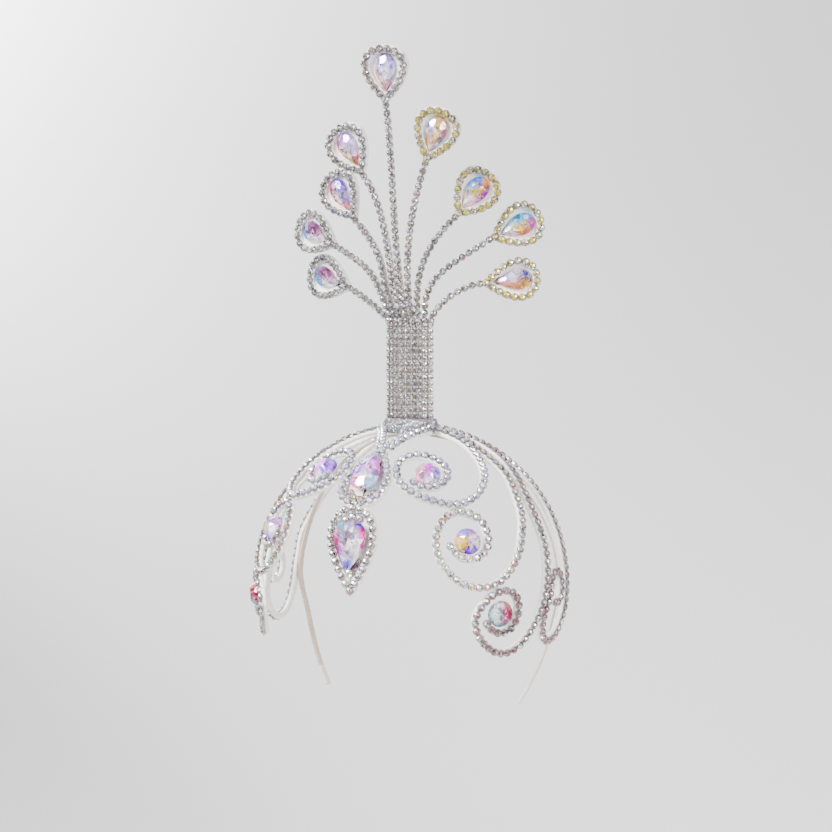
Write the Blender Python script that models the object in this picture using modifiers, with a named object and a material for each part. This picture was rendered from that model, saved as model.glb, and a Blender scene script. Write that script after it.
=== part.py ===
"""A rhinestone headpiece: a cap of tape-wrapped wire scrolls, a stem of nine wires and a fan of nine pear finials.

Metres, +Z up. The wearer faces -Y and the wearer's left is +X. The origin is where the crown of the head
carries the foot of the stem.
"""

import math
from dataclasses import dataclass

import bmesh
import bpy
import numpy as np
from mathutils import Matrix, Vector

MM = 0.001
OBJECT_NAME = "rhinestone_headpiece"
GAP = 0.3 * MM

# The cap is a shallow dome that every scroll lies on. Its surface is where the crystals are.
DOME_HALF_WIDTH = 96 * MM
DOME_HALF_DEPTH = 91 * MM
DOME_HEIGHT = 96 * MM
DOME_TOP = 6 * MM
DOME_RADII = np.array([DOME_HALF_WIDTH, DOME_HALF_DEPTH, DOME_HEIGHT])
DOME_CENTRE = np.array([0.0, 0.0, DOME_TOP - DOME_HEIGHT])
DOME_MEAN_RADIUS = 94 * MM

# Wires with their tape.
CAP_WIRE = 4.4 * MM
SPRAY_WIRE = 2.9 * MM
BRANCH_WIRE = 4.2 * MM
CHAIN_HEIGHT = 1.6 * MM
RIGHT_SIDE_TURN = 2.2
WIRE_SIDES_RESOLUTION = 2
LONGEST_STEP = 9.5 * MM
SHARPEST_TURN = math.radians(23)

# The stem is a curved row of nine wires that stands on an oval foot.
SLOTS_EACH_SIDE = 4
SLOT_PITCH = 3.3 * MM
SLOT_ARC_RADIUS = 20 * MM
SLOT_ARC_CENTRE_Y = 16 * MM
STEM_THICKNESS = 3.9 * MM
STEM_TOP = 66 * MM
RIDGE_POINTS = 4
FOOT_HALF_WIDTH = 17 * MM
FOOT_HALF_DEPTH = 8.5 * MM
FOOT_HEIGHT = 9 * MM
FOOT_EDGE = 1.2 * MM
FOOT_SIDES = 24

# Teardrop frames: a rim that stands round a thin backing.
FRAME_POINTS = 24
FRAME_DEPTH = 4.4 * MM
FRAME_BACKING = 1.4 * MM
FRAME_CHAMFER = 0.8 * MM
PEAR_WIDEST = 4 / (3 * math.sqrt(3))
FINIAL_RIM = 4.6 * MM
FINIAL_WIRE_REACH = 3.5 * MM

# Main stones.
ROUND_STONE = 15.2 * MM
ROUND_STONE_HEIGHT = 6.4 * MM
STONE_FACETS = 8
FLAT_GIRDLE = 2.0 * MM
GIRDLE_BAND = 0.7 * MM
TABLE_SHARE = 0.56
STAR_SHARE = 0.80
STAR_HEIGHT_SHARE = 0.55

# Headband.
BAND_WIDTH = 4.0 * MM
BAND_THICKNESS = 1.2 * MM
BAND_DEPTH_UNDER_CRYSTALS = CHAIN_HEIGHT + CAP_WIRE + GAP + BAND_THICKNESS / 2
BAND_END_WIDTH = 5.0 * MM
BAND_END_THICKNESS = 2.4 * MM
BAND_END_LENGTH = 12 * MM


@dataclass(frozen=True)
class Finish:
    """Plain colour values of one material."""

    name: str
    colour: tuple
    roughness: float
    metallic: float = 0.0
    transmission: float = 0.0


WRAPPED_TAPE = Finish("wrapped_tape", (0.86, 0.85, 0.81), 0.55)
CRYSTAL_CHAIN = Finish("crystal_chain", (0.62, 0.62, 0.63), 0.25, metallic=0.6)
CUT_CRYSTAL = Finish("cut_crystal", (0.70, 0.66, 0.85), 0.05, transmission=0.5)
GLITTER_CLOTH = Finish("glitter_cloth", (0.50, 0.50, 0.52), 0.6, metallic=0.3)
BAND_TAPE = Finish("band_tape", (0.72, 0.62, 0.55), 0.6)


@dataclass(frozen=True)
class Finial:
    """One row of the fan: its wire's slot, where its teardrop starts and how that is turned, in mm and degrees.

    lean turns the teardrop sideways from upright, yaw turns its face towards the wearer's left, and pitch
    tips it forward. The wire leaves its slot leaning start_side and start_forward, and arrives at wire_lean.
    """

    name: str
    slot: int
    tip: tuple
    yaw: float
    pitch: float
    lean: float
    width: float
    length: float
    wire_lean: float
    start_side: float
    start_forward: float
    start_pull: float
    end_pull: float


FINIALS = (
    Finial("centre", 0, (1.2, -36, 193.5), 0, 12, 3, 28.6, 34.0, -4, -11, 16, 29, 29),
    Finial("left_1", 1, (21.4, -26, 160.0), 10, 10, 21, 27.3, 33.2, 21, -7, 13, 32, 31),
    Finial("left_2", 2, (31.5, -6, 129.1), 18, 5, 39, 27.4, 33.3, 47, -3, 11, 26, 28),
    Finial("left_3", 3, (47.8, 7, 115.9), 24, 0, 65, 26.7, 33.8, 57, 1, 9, 27, 36),
    Finial("left_4", 4, (40.5, 11, 89.6), 24, 0, 83, 26.0, 35.5, 85, 6, 7, 9, 13),
    Finial("right_1", -1, (-17.6, -26, 153.3), -6, 10, -29, 28.4, 33.0, -35, -15, 13, 29, 29),
    Finial("right_2", -2, (-32.5, -6, 127.6), -12, 5, -34, 28.4, 33.3, -43, -20, 11, 38, 38),
    Finial("right_3", -3, (-52.2, 7, 112.0), -16, 0, -67, 26.6, 34.5, -65, -25, 9, 32, 39),
    Finial("right_4", -4, (-44.4, 11, 86.3), -18, 0, -74, 27.6, 36.5, -68, -45, 7, 4, 15),
)
FINIAL_STONE_WIDTH = 12.8 * MM
FINIAL_STONE_LENGTH = 21.3 * MM
FINIAL_STONE_HEIGHT = 5.2 * MM


@dataclass(frozen=True)
class Scroll:
    """One wire of the cap on the wearer's left: a limb from the crown and a coil that closes round a stone.

    Compass angles start at the front and run to the wearer's left, and drops are measured down from the crown.
    limb rows are (compass, drop). coil rows are (turn, radius in mm) round the centre: a turn of 90 is
    towards the crown, 180 towards the back, 270 down and 360 forward.
    """

    name: str
    compass: float
    drop: float
    limb: tuple
    coil: tuple
    has_stone: bool = True


SCROLLS = (
    Scroll(
        "scroll_1",
        32.2,
        40.0,
        limb=((82.0, 11.2), (81.0, 15.5), (80.2, 20.8), (77, 27), (72.5, 33.2)),
        coil=(
            (163, 37.6),
            (182, 34.2),
            (207, 30.6),
            (235, 26.0),
            (265, 20.0),
            (295, 17.2),
            (330, 17.2),
            (370, 18.0),
            (405, 18.6),
            (445, 15.9),
            (490, 13.1),
            (545, 11.7),
            (600, 10.5),
            (650, 10.5),
            (695, 11.2),
        ),
    ),
    Scroll(
        "scroll_2",
        45.0,
        67.4,
        limb=(
            (99.0, 10.8),
            (94.6, 14.5),
            (90, 20.7),
            (84.8, 27.4),
            (84, 33),
            (83.7, 38.2),
            (83.1, 43),
            (80.6, 47.6),
            (77.8, 53.1),
        ),
        coil=(
            (157, 46.0),
            (170, 40.0),
            (187, 35.2),
            (207, 31.7),
            (232, 29.6),
            (261, 27.0),
            (292, 23.6),
            (325, 20.8),
            (362, 19.2),
            (400, 18.4),
            (435, 18.2),
            (462, 17.0),
            (486, 15.8),
            (515, 13.9),
            (551, 12.4),
            (590, 11.1),
            (630, 10.5),
            (670, 10.5),
            (705, 11.2),
            (725, 12.6),
        ),
    ),
    Scroll(
        "scroll_3",
        56.2,
        93.45,
        limb=(
            (122.0, 9.0),
            (119.6, 12.5),
            (117.4, 16.4),
            (113, 24),
            (106.8, 30.8),
            (100, 37.1),
            (95.2, 41.6),
            (91.8, 46),
            (88.4, 50.5),
            (86.1, 54.5),
            (84.6, 59.7),
            (84, 65.7),
            (83.4, 72.6),
            (82.4, 77.8),
        ),
        coil=(
            (156, 44.8),
            (168, 38.6),
            (182, 33.3),
            (206, 27.9),
            (235, 26.2),
            (262, 24.2),
            (291, 20.4),
            (325, 18.2),
            (356, 16.8),
            (385, 13.9),
            (418, 12.7),
            (450, 13.0),
            (485, 14.2),
            (515, 13.6),
            (550, 12.2),
            (590, 11.8),
            (625, 11.3),
            (660, 10.5),
            (700, 10.5),
        ),
    ),
    Scroll(
        "scroll_4",
        89.4,
        87.7,
        limb=(
            (150, 7.6),
            (142, 11.5),
            (135, 17.1),
            (129, 27.1),
            (123.2, 38.5),
            (117.8, 48.9),
            (112.9, 58),
            (109.8, 65.2),
            (106.8, 72.2),
            (104.6, 78.4),
        ),
        coil=(
            (165, 25.0),
            (185, 22.8),
            (210, 23.6),
            (240, 27.0),
            (265, 31.0),
            (285, 32.6),
            (300, 30.6),
            (315, 25.5),
            (330, 16.4),
            (350, 11.0),
            (380, 10.0),
            (420, 9.6),
            (470, 8.6),
            (530, 7.6),
            (590, 8.4),
            (640, 9.6),
            (670, 9.8),
        ),
        has_stone=False,
    ),
)


@dataclass(frozen=True)
class FrontDrop:
    """A teardrop of the front, from its tip to where both meet, and its pear stone, in mm.

    stone_start is how far the stone's tip is from the frame's tip, and girdle how high its edge stands.
    """

    name: str
    tip: tuple
    width: float
    stone_width: float
    stone_length: float
    stone_start: float
    girdle: float
    stone_height: float


# The two front teardrops meet at this point of the crystal surface, a little to the wearer's right.
FRONT_MEETING = np.array([-3.8, -74.0, -34.4]) * MM
FRONT_RIM = 4.5 * MM
FRONT_STONE_BACK_SHARE = 0.72
BROW_DROP = FrontDrop("brow", (-0.2, -38.6, -3.6), 30.0, 17.0, 27.6, 8.8, 6.0, 9.4)
FOREHEAD_DROP = FrontDrop("forehead", (-0.9, -84.8, -85.7), 30.6, 20.4, 29.2, 14.6, 5.6, 9.4)
BRANCH_POINTS = ((1.6, -40.0), (5.8, -28.0), (10.8, -16.8), (15.9, -7.1))


def clear_scene():
    """Removes every object, so that the model starts from an empty scene."""
    for obj in list(bpy.data.objects):
        bpy.data.objects.remove(obj)


def new_collection(name, helpers=False):
    """A collection in the scene; a collection of helpers isn't rendered."""
    collection = bpy.data.collections.new(name)
    bpy.context.scene.collection.children.link(collection)
    collection.hide_render = helpers
    return collection


def make_material(finish):
    """A Principled material with the finish's colour, roughness and metallic value."""
    material = bpy.data.materials.new(finish.name)
    material.use_nodes = True
    shader = material.node_tree.nodes["Principled BSDF"]
    shader.inputs["Base Color"].default_value = (*finish.colour, 1.0)
    shader.inputs["Roughness"].default_value = finish.roughness
    shader.inputs["Metallic"].default_value = finish.metallic
    shader.inputs["Transmission Weight"].default_value = finish.transmission
    material.diffuse_color = (*finish.colour, 1.0)
    return material


def link_object(name, data, collection, material):
    """A new object for the data, in the collection and with the material."""
    obj = bpy.data.objects.new(name, data)
    data.materials.append(material)
    collection.objects.link(obj)
    return obj


# Points on the dome


def direction(compass, drop):
    """The unit sphere's point at a compass angle and a drop from the crown, in degrees."""
    compass, drop = math.radians(compass), math.radians(drop)
    return np.array([math.sin(drop) * math.sin(compass), -math.sin(drop) * math.cos(compass), math.cos(drop)])


def on_dome(unit, depth):
    """The place of a unit sphere's point, at a depth under the crystal surface."""
    return DOME_CENTRE + unit * (DOME_RADII - depth)


def dome_axes(unit):
    """(forward, up) unit vectors that lie on the sphere at a point."""
    up = np.array([0.0, 0.0, 1.0]) - unit[2] * unit
    up /= np.linalg.norm(up)
    return np.cross(unit, up), up


def round_centre(unit, turn, radius):
    """The unit sphere's point at a turn in degrees and a distance round another point."""
    forward, up = dome_axes(unit)
    angle = radius / DOME_MEAN_RADIUS
    turn = math.radians(turn)
    side = math.cos(turn) * forward + math.sin(turn) * up
    return math.cos(angle) * unit + math.sin(angle) * side


# Curves


def spline(places, values, wanted):
    """Natural cubic spline through values at rising places, read at the wanted places."""
    places, values = np.asarray(places, float), np.asarray(values, float)
    count = len(places)
    gaps = np.diff(places)
    matrix, right = np.eye(count), np.zeros(values.shape)
    for i in range(1, count - 1):
        matrix[i, i - 1 : i + 2] = gaps[i - 1], 2 * (gaps[i - 1] + gaps[i]), gaps[i]
        slopes = (values[i + 1] - values[i]) / gaps[i], (values[i] - values[i - 1]) / gaps[i - 1]
        right[i] = 6 * (slopes[0] - slopes[1])
    bends = np.linalg.solve(matrix, right)
    index = np.clip(np.searchsorted(places, wanted, side="right") - 1, 0, count - 2)
    gap = gaps[index]
    after, before = (places[index + 1] - wanted) / gap, (wanted - places[index]) / gap
    if values.ndim > 1:
        gap, after, before = gap[:, None], after[:, None], before[:, None]
    straight = after * values[index] + before * values[index + 1]
    bend = (after**3 - after) * bends[index] + (before**3 - before) * bends[index + 1]
    return straight + bend * gap**2 / 6


def lengths_along(points):
    """Distance of each point from the first, along the points."""
    steps = np.linalg.norm(np.diff(points, axis=0), axis=1)
    return np.concatenate([[0.0], np.cumsum(steps)])


def smooth_through(points, spacing=1.0 * MM):
    """Closely spaced points on a smooth curve through the given ones."""
    points = np.asarray(points, float)
    along = lengths_along(points)
    return spline(along, points, np.linspace(0, along[-1], int(along[-1] / spacing) + 2))


def thinned(points):
    """Keeps the fewest points with steps and turns no larger than the driving sizes allow."""
    headings = np.diff(points, axis=0)
    headings /= np.linalg.norm(headings, axis=1)[:, None]
    along = lengths_along(points)
    kept, turned = [0], 0.0
    for i in range(1, len(points) - 1):
        turned += math.acos(min(1.0, float(headings[i] @ headings[i - 1])))
        if along[i] - along[kept[-1]] >= LONGEST_STEP or turned >= SHARPEST_TURN:
            kept.append(i)
            turned = 0.0
    return points[kept + [len(points) - 1]]


def bezier(corners, count=60):
    """Points on the cubic curve with these four corners."""
    t = np.linspace(0, 1, count)[:, None]
    a, b, c, d = corners
    return (1 - t) ** 3 * a + 3 * (1 - t) ** 2 * t * b + 3 * (1 - t) * t**2 * c + t**3 * d


def pear(width, length, count):
    """Outline of a teardrop with its tip at (0, 0) and its round end at (0, length)."""
    t = np.arange(count) * 2 * math.pi / count
    across = width / 2 / PEAR_WIDEST * np.sin(t) * np.sin(t / 2)
    along = length / 2 * (1 - np.cos(t))
    return np.stack([across, along], axis=1)


# Solids


def add_tube(name, points, diameter, collection, material):
    """A wire with closed ends, as a bevelled curve."""
    data = bpy.data.curves.new(name, "CURVE")
    data.dimensions = "3D"
    data.bevel_depth = diameter / 2
    data.bevel_resolution = WIRE_SIDES_RESOLUTION
    data.use_fill_caps = True
    line = data.splines.new("POLY")
    line.points.add(len(points) - 1)
    for point, place in zip(line.points, points):
        point.co = (*place, 1.0)
    line.use_smooth = True
    return link_object(name, data, collection, material)


def as_mesh(curve_object, collection, material):
    """The curve object's mesh as a new object with its caps welded; the curve is removed."""
    name = curve_object.name
    graph = bpy.context.evaluated_depsgraph_get()
    data = bpy.data.meshes.new_from_object(curve_object.evaluated_get(graph))
    place = curve_object.matrix_world.copy()
    bpy.data.objects.remove(curve_object)
    shape = bmesh.new()
    shape.from_mesh(data)
    bmesh.ops.remove_doubles(shape, verts=shape.verts, dist=1e-6)
    bmesh.ops.recalc_face_normals(shape, faces=shape.faces)
    shape.to_mesh(data)
    shape.free()
    data.materials.clear()
    obj = link_object(name, data, collection, material)
    obj.matrix_world = place
    return obj


def join_with(obj, others):
    """Fuses the helper solids into the object with EXACT unions."""
    for other in others:
        other.display_type = "WIRE"
        other.hide_render = True
        union = obj.modifiers.new("join_" + other.name, "BOOLEAN")
        union.operation = "UNION"
        union.solver = "EXACT"
        union.object = other


def shade_round(data, sharp_degrees=35):
    """Smooth shading with sharp edges where faces meet steeply."""
    data.shade_smooth()
    data.set_sharp_from_angle(angle=math.radians(sharp_degrees))


def ring_of_vertices(shape, outline, height):
    """One closed loop of vertices: the outline at a height."""
    return [shape.verts.new((x, y, height)) for x, y in outline]


def bridge_rings(shape, rings):
    """Closes the sides between rings of equal counts, and both ends."""
    count = len(rings[0])
    for low, high in zip(rings, rings[1:]):
        for i in range(count):
            j = (i + 1) % count
            shape.faces.new((low[i], low[j], high[j], high[i]))
    shape.faces.new(list(reversed(rings[0])))
    shape.faces.new(rings[-1])


def frame_mesh(name, width, length, rim):
    """A teardrop tray: chamfered rim, thin backing. Its face looks along +Z and its back is at z = 0."""
    tip_slant = math.atan2(width / PEAR_WIDEST, length)
    tip_share = 1 / math.sin(tip_slant)
    top = FRAME_DEPTH
    section = (
        (FRAME_CHAMFER, 0.0),
        (0.0, FRAME_CHAMFER),
        (0.0, top - FRAME_CHAMFER),
        (FRAME_CHAMFER, top),
        (rim, top),
        (rim, FRAME_BACKING),
    )
    shape = bmesh.new()
    rings = []
    for inset, height in section:
        outline = pear(width - 2 * inset, length - inset * (1 + tip_share), FRAME_POINTS)
        outline[:, 1] += inset * tip_share
        rings.append(ring_of_vertices(shape, outline, height))
    bridge_rings(shape, rings)
    bmesh.ops.recalc_face_normals(shape, faces=shape.faces)
    data = bpy.data.meshes.new(name)
    shape.to_mesh(data)
    shape.free()
    shade_round(data)
    return data


def cut_stone_mesh(name, outline, girdle, height, back_share=1.0):
    """A stone cut as real ones are: a block of the girdle's outline, then one plane cut for each facet.

    The table is flat and on top; round it stand the main facets, with a star facet between each two. The
    back is flat at z = 0 and is back_share of the girdle's size.
    """
    centre = outline.mean(axis=0)
    shape = bmesh.new()
    rings = [ring_of_vertices(shape, centre + (outline - centre) * back_share, 0.0)]
    if back_share < 1:
        rings.append(ring_of_vertices(shape, outline, girdle - GIRDLE_BAND))
    rings.append(ring_of_vertices(shape, outline, height))
    bridge_rings(shape, rings)
    star_height = girdle + (height - girdle) * STAR_HEIGHT_SHARE
    for start_height, share, shift in ((girdle, 1.0, 0.0), (star_height, STAR_SHARE, 0.5)):
        for i in range(STONE_FACETS):
            facing = 2 * math.pi * (i + shift) / STONE_FACETS
            outward = np.array([math.cos(facing), math.sin(facing)])
            reach = ((outline - centre) @ outward).max()
            edge = centre + outward * reach * share
            slope = (height - start_height) / (reach * (share - TABLE_SHARE))
            cut_away(shape, (*edge, start_height), (*(outward * slope), 1.0))
    bmesh.ops.remove_doubles(shape, verts=shape.verts, dist=1e-6)
    bmesh.ops.recalc_face_normals(shape, faces=shape.faces)
    data = bpy.data.meshes.new(name)
    shape.to_mesh(data)
    shape.free()
    return data


def cut_away(shape, point, normal):
    """Cuts off all that is outside a plane and closes the cut."""
    geometry = shape.verts[:] + shape.edges[:] + shape.faces[:]
    normal = Vector(normal).normalized()
    bmesh.ops.bisect_plane(shape, geom=geometry, dist=1e-7, plane_co=point, plane_no=normal, clear_outer=True)
    open_edges = [edge for edge in shape.edges if edge.is_boundary]
    if open_edges:
        bmesh.ops.holes_fill(shape, edges=open_edges)


# Sub-parts


def slot_place(slot, height):
    """Where the stem's wire in a slot is, at a height."""
    angle = slot * SLOT_PITCH / SLOT_ARC_RADIUS
    across = SLOT_ARC_RADIUS * math.sin(angle)
    return np.array([across, SLOT_ARC_CENTRE_Y - SLOT_ARC_RADIUS * math.cos(angle), height])


def add_stem(collection, material):
    """The curved row of nine wires as one solid, ridged front and back where the wires lie side by side."""
    half = STEM_THICKNESS / 2
    spread = math.radians(56)
    outline = []
    slots = range(-SLOTS_EACH_SIDE, SLOTS_EACH_SIDE + 1)
    for order, facing in ((slots, 0.0), (reversed(slots), math.pi)):
        for slot in order:
            middle = slot_place(slot, 0)[:2]
            base = slot * SLOT_PITCH / SLOT_ARC_RADIUS - math.pi / 2 + facing
            for swing in np.linspace(-spread, spread, RIDGE_POINTS):
                outline.append(middle + half * np.array([math.cos(base + swing), math.sin(base + swing)]))
    shape = bmesh.new()
    rings = [ring_of_vertices(shape, outline, z) for z in (FOOT_HEIGHT + GAP, STEM_TOP)]
    bridge_rings(shape, rings)
    bmesh.ops.recalc_face_normals(shape, faces=shape.faces)
    data = bpy.data.meshes.new("stem")
    shape.to_mesh(data)
    shape.free()
    shade_round(data, 50)
    return link_object("stem", data, collection, material)


def add_foot(collection, material):
    """The oval cloth-wrapped foot. Its flat underside rests on the crown of the head."""
    bpy.ops.mesh.primitive_cylinder_add(
        vertices=FOOT_SIDES, radius=1.0, depth=FOOT_HEIGHT, location=(0, 0, FOOT_HEIGHT / 2)
    )
    foot = bpy.context.active_object
    foot.name = foot.data.name = "stem_foot"
    scale = Matrix.Diagonal((FOOT_HALF_WIDTH, FOOT_HALF_DEPTH, 1.0, 1.0))
    foot.data.transform(scale)
    for owner in list(foot.users_collection):
        owner.objects.unlink(foot)
    collection.objects.link(foot)
    foot.data.materials.append(material)
    rounding = foot.modifiers.new("rounded_edges", "BEVEL")
    rounding.width = FOOT_EDGE
    rounding.segments = 2
    rounding.limit_method = "ANGLE"
    rounding.angle_limit = math.radians(50)
    return foot


def finial_axes(finial, lean):
    """(across, along, facing) unit vectors of a finial's plane, with along at a lean from upright."""
    yaw, pitch, lean = (math.radians(a) for a in (finial.yaw, finial.pitch, lean))
    side = Vector((math.cos(yaw), math.sin(yaw), 0))
    front = Vector((math.sin(yaw), -math.cos(yaw), 0))
    up = Vector((0, 0, 1)) * math.cos(pitch) + front * math.sin(pitch)
    along = up * math.cos(lean) + side * math.sin(lean)
    facing = side.cross(up)
    return along.cross(facing), along, facing


def placed(across, along, facing, origin):
    """The matrix that puts a mesh's X, Y and Z on three axes, at an origin."""
    matrix = Matrix((across, along, facing)).transposed().to_4x4()
    matrix.translation = Vector(origin)
    return matrix


def finial_wire_path(finial):
    """Points along a wire of the fan, from its slot to inside its teardrop's tip."""
    start_side, start_forward = math.radians(finial.start_side), math.radians(finial.start_forward)
    leaving = np.array([math.sin(start_side), -math.sin(start_forward), 1.0])
    leaving /= np.linalg.norm(leaving)
    arriving = np.array(finial_axes(finial, finial.wire_lean)[1])
    end_dip = SPRAY_WIRE / 2 * math.sqrt(1 - leaving[2] ** 2)
    start = slot_place(finial.slot, STEM_TOP + GAP + end_dip)
    tip = np.array(finial.tip) * MM
    reach = np.array(finial_axes(finial, finial.lean)[1]) * FINIAL_WIRE_REACH
    before_tip = tip - arriving * finial.end_pull * MM
    path = bezier((start, start + leaving * finial.start_pull * MM, before_tip, tip))
    return np.concatenate([thinned(path), [tip + reach]])


def add_finial(finial, collection, helpers, tape, crystal):
    """One wire of the fan with its teardrop frame, fused, and its pear stone."""
    across, along, facing = finial_axes(finial, finial.lean)
    tip = Vector(finial.tip) * MM
    middle = FRAME_DEPTH / 2
    name = "spray_" + finial.name
    frame_data = frame_mesh(name, finial.width * MM, finial.length * MM, FINIAL_RIM)
    frame = link_object(name, frame_data, collection, tape)
    frame.matrix_world = placed(across, along, facing, tip - facing * middle)
    wire = add_tube("wire_" + finial.name, finial_wire_path(finial), SPRAY_WIRE, helpers, tape)
    join_with(frame, [as_mesh(wire, helpers, tape)])
    outline = pear(FINIAL_STONE_WIDTH, FINIAL_STONE_LENGTH, 2 * STONE_FACETS)
    name = "pear_stone_" + finial.name
    stone = link_object(name, cut_stone_mesh(name, outline, FLAT_GIRDLE, FINIAL_STONE_HEIGHT), collection, crystal)
    start = finial.length * MM - FINIAL_RIM - FINIAL_STONE_LENGTH - 2 * GAP
    lift = FRAME_BACKING + GAP - middle
    stone.matrix_world = placed(across, along, facing, tip + along * start + facing * lift)


def scroll_path(scroll, depth, turn):
    """Closely spaced points along a scroll on the wearer's left, at a depth under the crystal surface."""
    centre = direction(scroll.compass, scroll.drop)
    turns, radii = np.array(scroll.coil, float).T
    wanted = np.arange(turns[0], turns[-1] + 1, 15.0)
    coil = [round_centre(centre, turn, radius * MM) for turn, radius in zip(wanted, spline(turns, radii, wanted))]
    units = [direction(*row) for row in scroll.limb] + coil
    return smooth_through([on_dome(turned_out(unit, turn), depth) for unit in units])


def mirrored(points, side):
    """The points on the wearer's left (side 1) or their mirror image on the right (side -1)."""
    return points * np.array([side, 1.0, 1.0])


def turned_out(unit, turn):
    """A unit sphere's point on the wearer's left, turned further from the front."""
    turn = math.radians(turn)
    x, y, z = unit
    return np.array([x * math.cos(turn) - y * math.sin(turn), x * math.sin(turn) + y * math.cos(turn), z])


def add_scroll(scroll, side_name, side, collection, tape, crystal):
    """One wire of the cap, and the round stone in its coil."""
    turn = RIGHT_SIDE_TURN if side < 0 else 0.0
    points = thinned(scroll_path(scroll, CHAIN_HEIGHT + CAP_WIRE / 2, turn))
    add_tube(f"{scroll.name}_{side_name}", mirrored(points, side), CAP_WIRE, collection, tape)
    if not scroll.has_stone:
        return
    unit = turned_out(direction(scroll.compass, scroll.drop), turn)
    place = mirrored(on_dome(unit, CHAIN_HEIGHT + CAP_WIRE / 2), side)
    normal = Vector(mirrored(unit / DOME_RADII, side)).normalized()
    angles = (np.arange(2 * STONE_FACETS) + 0.5) * math.pi / STONE_FACETS
    outline = np.stack([np.cos(angles), np.sin(angles)], axis=1) * ROUND_STONE / 2
    name = f"{scroll.name}_stone_{side_name}"
    stone_data = cut_stone_mesh(name, outline, FLAT_GIRDLE, ROUND_STONE_HEIGHT)
    stone = link_object(name, stone_data, collection, crystal)
    stone.matrix_world = Matrix.Translation(place) @ normal.to_track_quat("Z", "Y").to_matrix().to_4x4()


def add_front_drop(drop, collection, frame_collection, tape, crystal):
    """A teardrop frame of the front, which is returned, and its pear stone."""
    tip = np.array(drop.tip) * MM
    along = Vector(FRONT_MEETING - tip)
    length = along.length
    along.normalize()
    facing = Vector((1, 0, 0)).cross(along).normalized()
    facing *= -math.copysign(1, facing.y)
    across = along.cross(facing)
    sunk = CHAIN_HEIGHT + FRAME_DEPTH
    data = frame_mesh(drop.name + "_frame", drop.width * MM, length, FRONT_RIM)
    frame = link_object(drop.name + "_frame", data, frame_collection, tape)
    frame.matrix_world = placed(across, along, facing, Vector(tip) - facing * sunk)
    outline = pear(drop.stone_width * MM, drop.stone_length * MM, 2 * STONE_FACETS)
    name = drop.name + "_stone"
    sizes = drop.girdle * MM, drop.stone_height * MM, FRONT_STONE_BACK_SHARE
    stone = link_object(name, cut_stone_mesh(name, outline, *sizes), collection, crystal)
    seat = Vector(tip) + along * drop.stone_start * MM + facing * (FRAME_BACKING + GAP - sunk)
    stone.matrix_world = placed(across, along, facing, seat)
    return frame


def add_front(collection, helpers, tape, crystal):
    """The brow teardrop, its two branches and the forehead teardrop under it, fused, and their stones."""
    front = add_front_drop(BROW_DROP, collection, collection, tape, crystal)
    front.name = front.data.name = "front_frame"
    joined = [add_front_drop(FOREHEAD_DROP, collection, helpers, tape, crystal)]
    for side_name, side in (("left", 1), ("right", -1)):
        points = []
        for x, y in BRANCH_POINTS:
            flat = np.array([x, y]) * MM / DOME_RADII[:2]
            unit = np.array([*flat, math.sqrt(1 - flat @ flat)])
            points.append(on_dome(unit, CHAIN_HEIGHT + BRANCH_WIRE / 2))
        path = mirrored(thinned(smooth_through(points)), side)
        wire = add_tube("branch_" + side_name, path, BRANCH_WIRE, helpers, tape)
        joined.append(as_mesh(wire, helpers, tape))
    join_with(front, joined)


def band_path():
    """Points along the headband from the crown to its end behind the left ear, under the rear scroll."""
    rows = ((0, 11.2), (20, 11.6), (36, 14.0), (52, 18.0), (66, 21.5), (77, 23.5), (84, 23.3))
    points = []
    for x, y in rows:
        flat = np.array([x, y]) * MM / (DOME_RADII[:2] - BAND_DEPTH_UNDER_CRYSTALS)
        unit = np.array([*flat, math.sqrt(max(0.0, 1 - flat @ flat))])
        points.append(on_dome(unit, BAND_DEPTH_UNDER_CRYSTALS))
    tail = (
        (86.0, 21.9, -88),
        (85.4, 21.4, -100),
        (82.4, 21.9, -113),
        (79.4, 22.2, -126.8),
        (69.2, 17.4, -152.5),
        (64.0, 15.4, -161.9),
    )
    points += [np.array(place) * MM for place in tail]
    return smooth_through(points)


def add_headband(collection, material):
    """The flat band from ear to ear with a thicker wrapped end on each side, as one swept solid."""
    half = band_path()
    along = lengths_along(half)
    stations = thinned(half)
    wrap_start = along[-1] - BAND_END_LENGTH
    station_along = lengths_along(stations) * along[-1] / lengths_along(stations)[-1]
    keep = station_along < wrap_start - 2 * MM
    step = 0.6 * MM
    tail_places = np.array([wrap_start - step, wrap_start, along[-1] - BAND_END_LENGTH / 2, along[-1]])
    tail_points = np.stack([np.interp(tail_places, along, half[:, k]) for k in range(3)], axis=1)
    points = np.concatenate([stations[keep], tail_points])
    wrapped = np.array([False] * (keep.sum() + 1) + [True] * (len(tail_places) - 1))
    points = np.concatenate([mirrored(points[:0:-1], -1), points])
    wrapped = np.concatenate([wrapped[:0:-1], wrapped])
    shape = bmesh.new()
    rings = []
    for i, point in enumerate(points):
        heading = points[min(i + 1, len(points) - 1)] - points[max(i - 1, 0)]
        heading /= np.linalg.norm(heading)
        outward = (point - DOME_CENTRE) / DOME_RADII**2
        outward -= (outward @ heading) * heading
        outward /= np.linalg.norm(outward)
        across = np.cross(heading, outward)
        width = BAND_END_WIDTH if wrapped[i] else BAND_WIDTH
        thick = BAND_END_THICKNESS if wrapped[i] else BAND_THICKNESS
        corners = ((-1, -1), (1, -1), (1, 1), (-1, 1))
        ring = [point + across * a * width / 2 + outward * b * thick / 2 for a, b in corners]
        rings.append([shape.verts.new(place) for place in ring])
    bridge_rings(shape, rings)
    bmesh.ops.recalc_face_normals(shape, faces=shape.faces)
    data = bpy.data.meshes.new("headband")
    shape.to_mesh(data)
    shape.free()
    return link_object("headband", data, collection, material)


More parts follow.
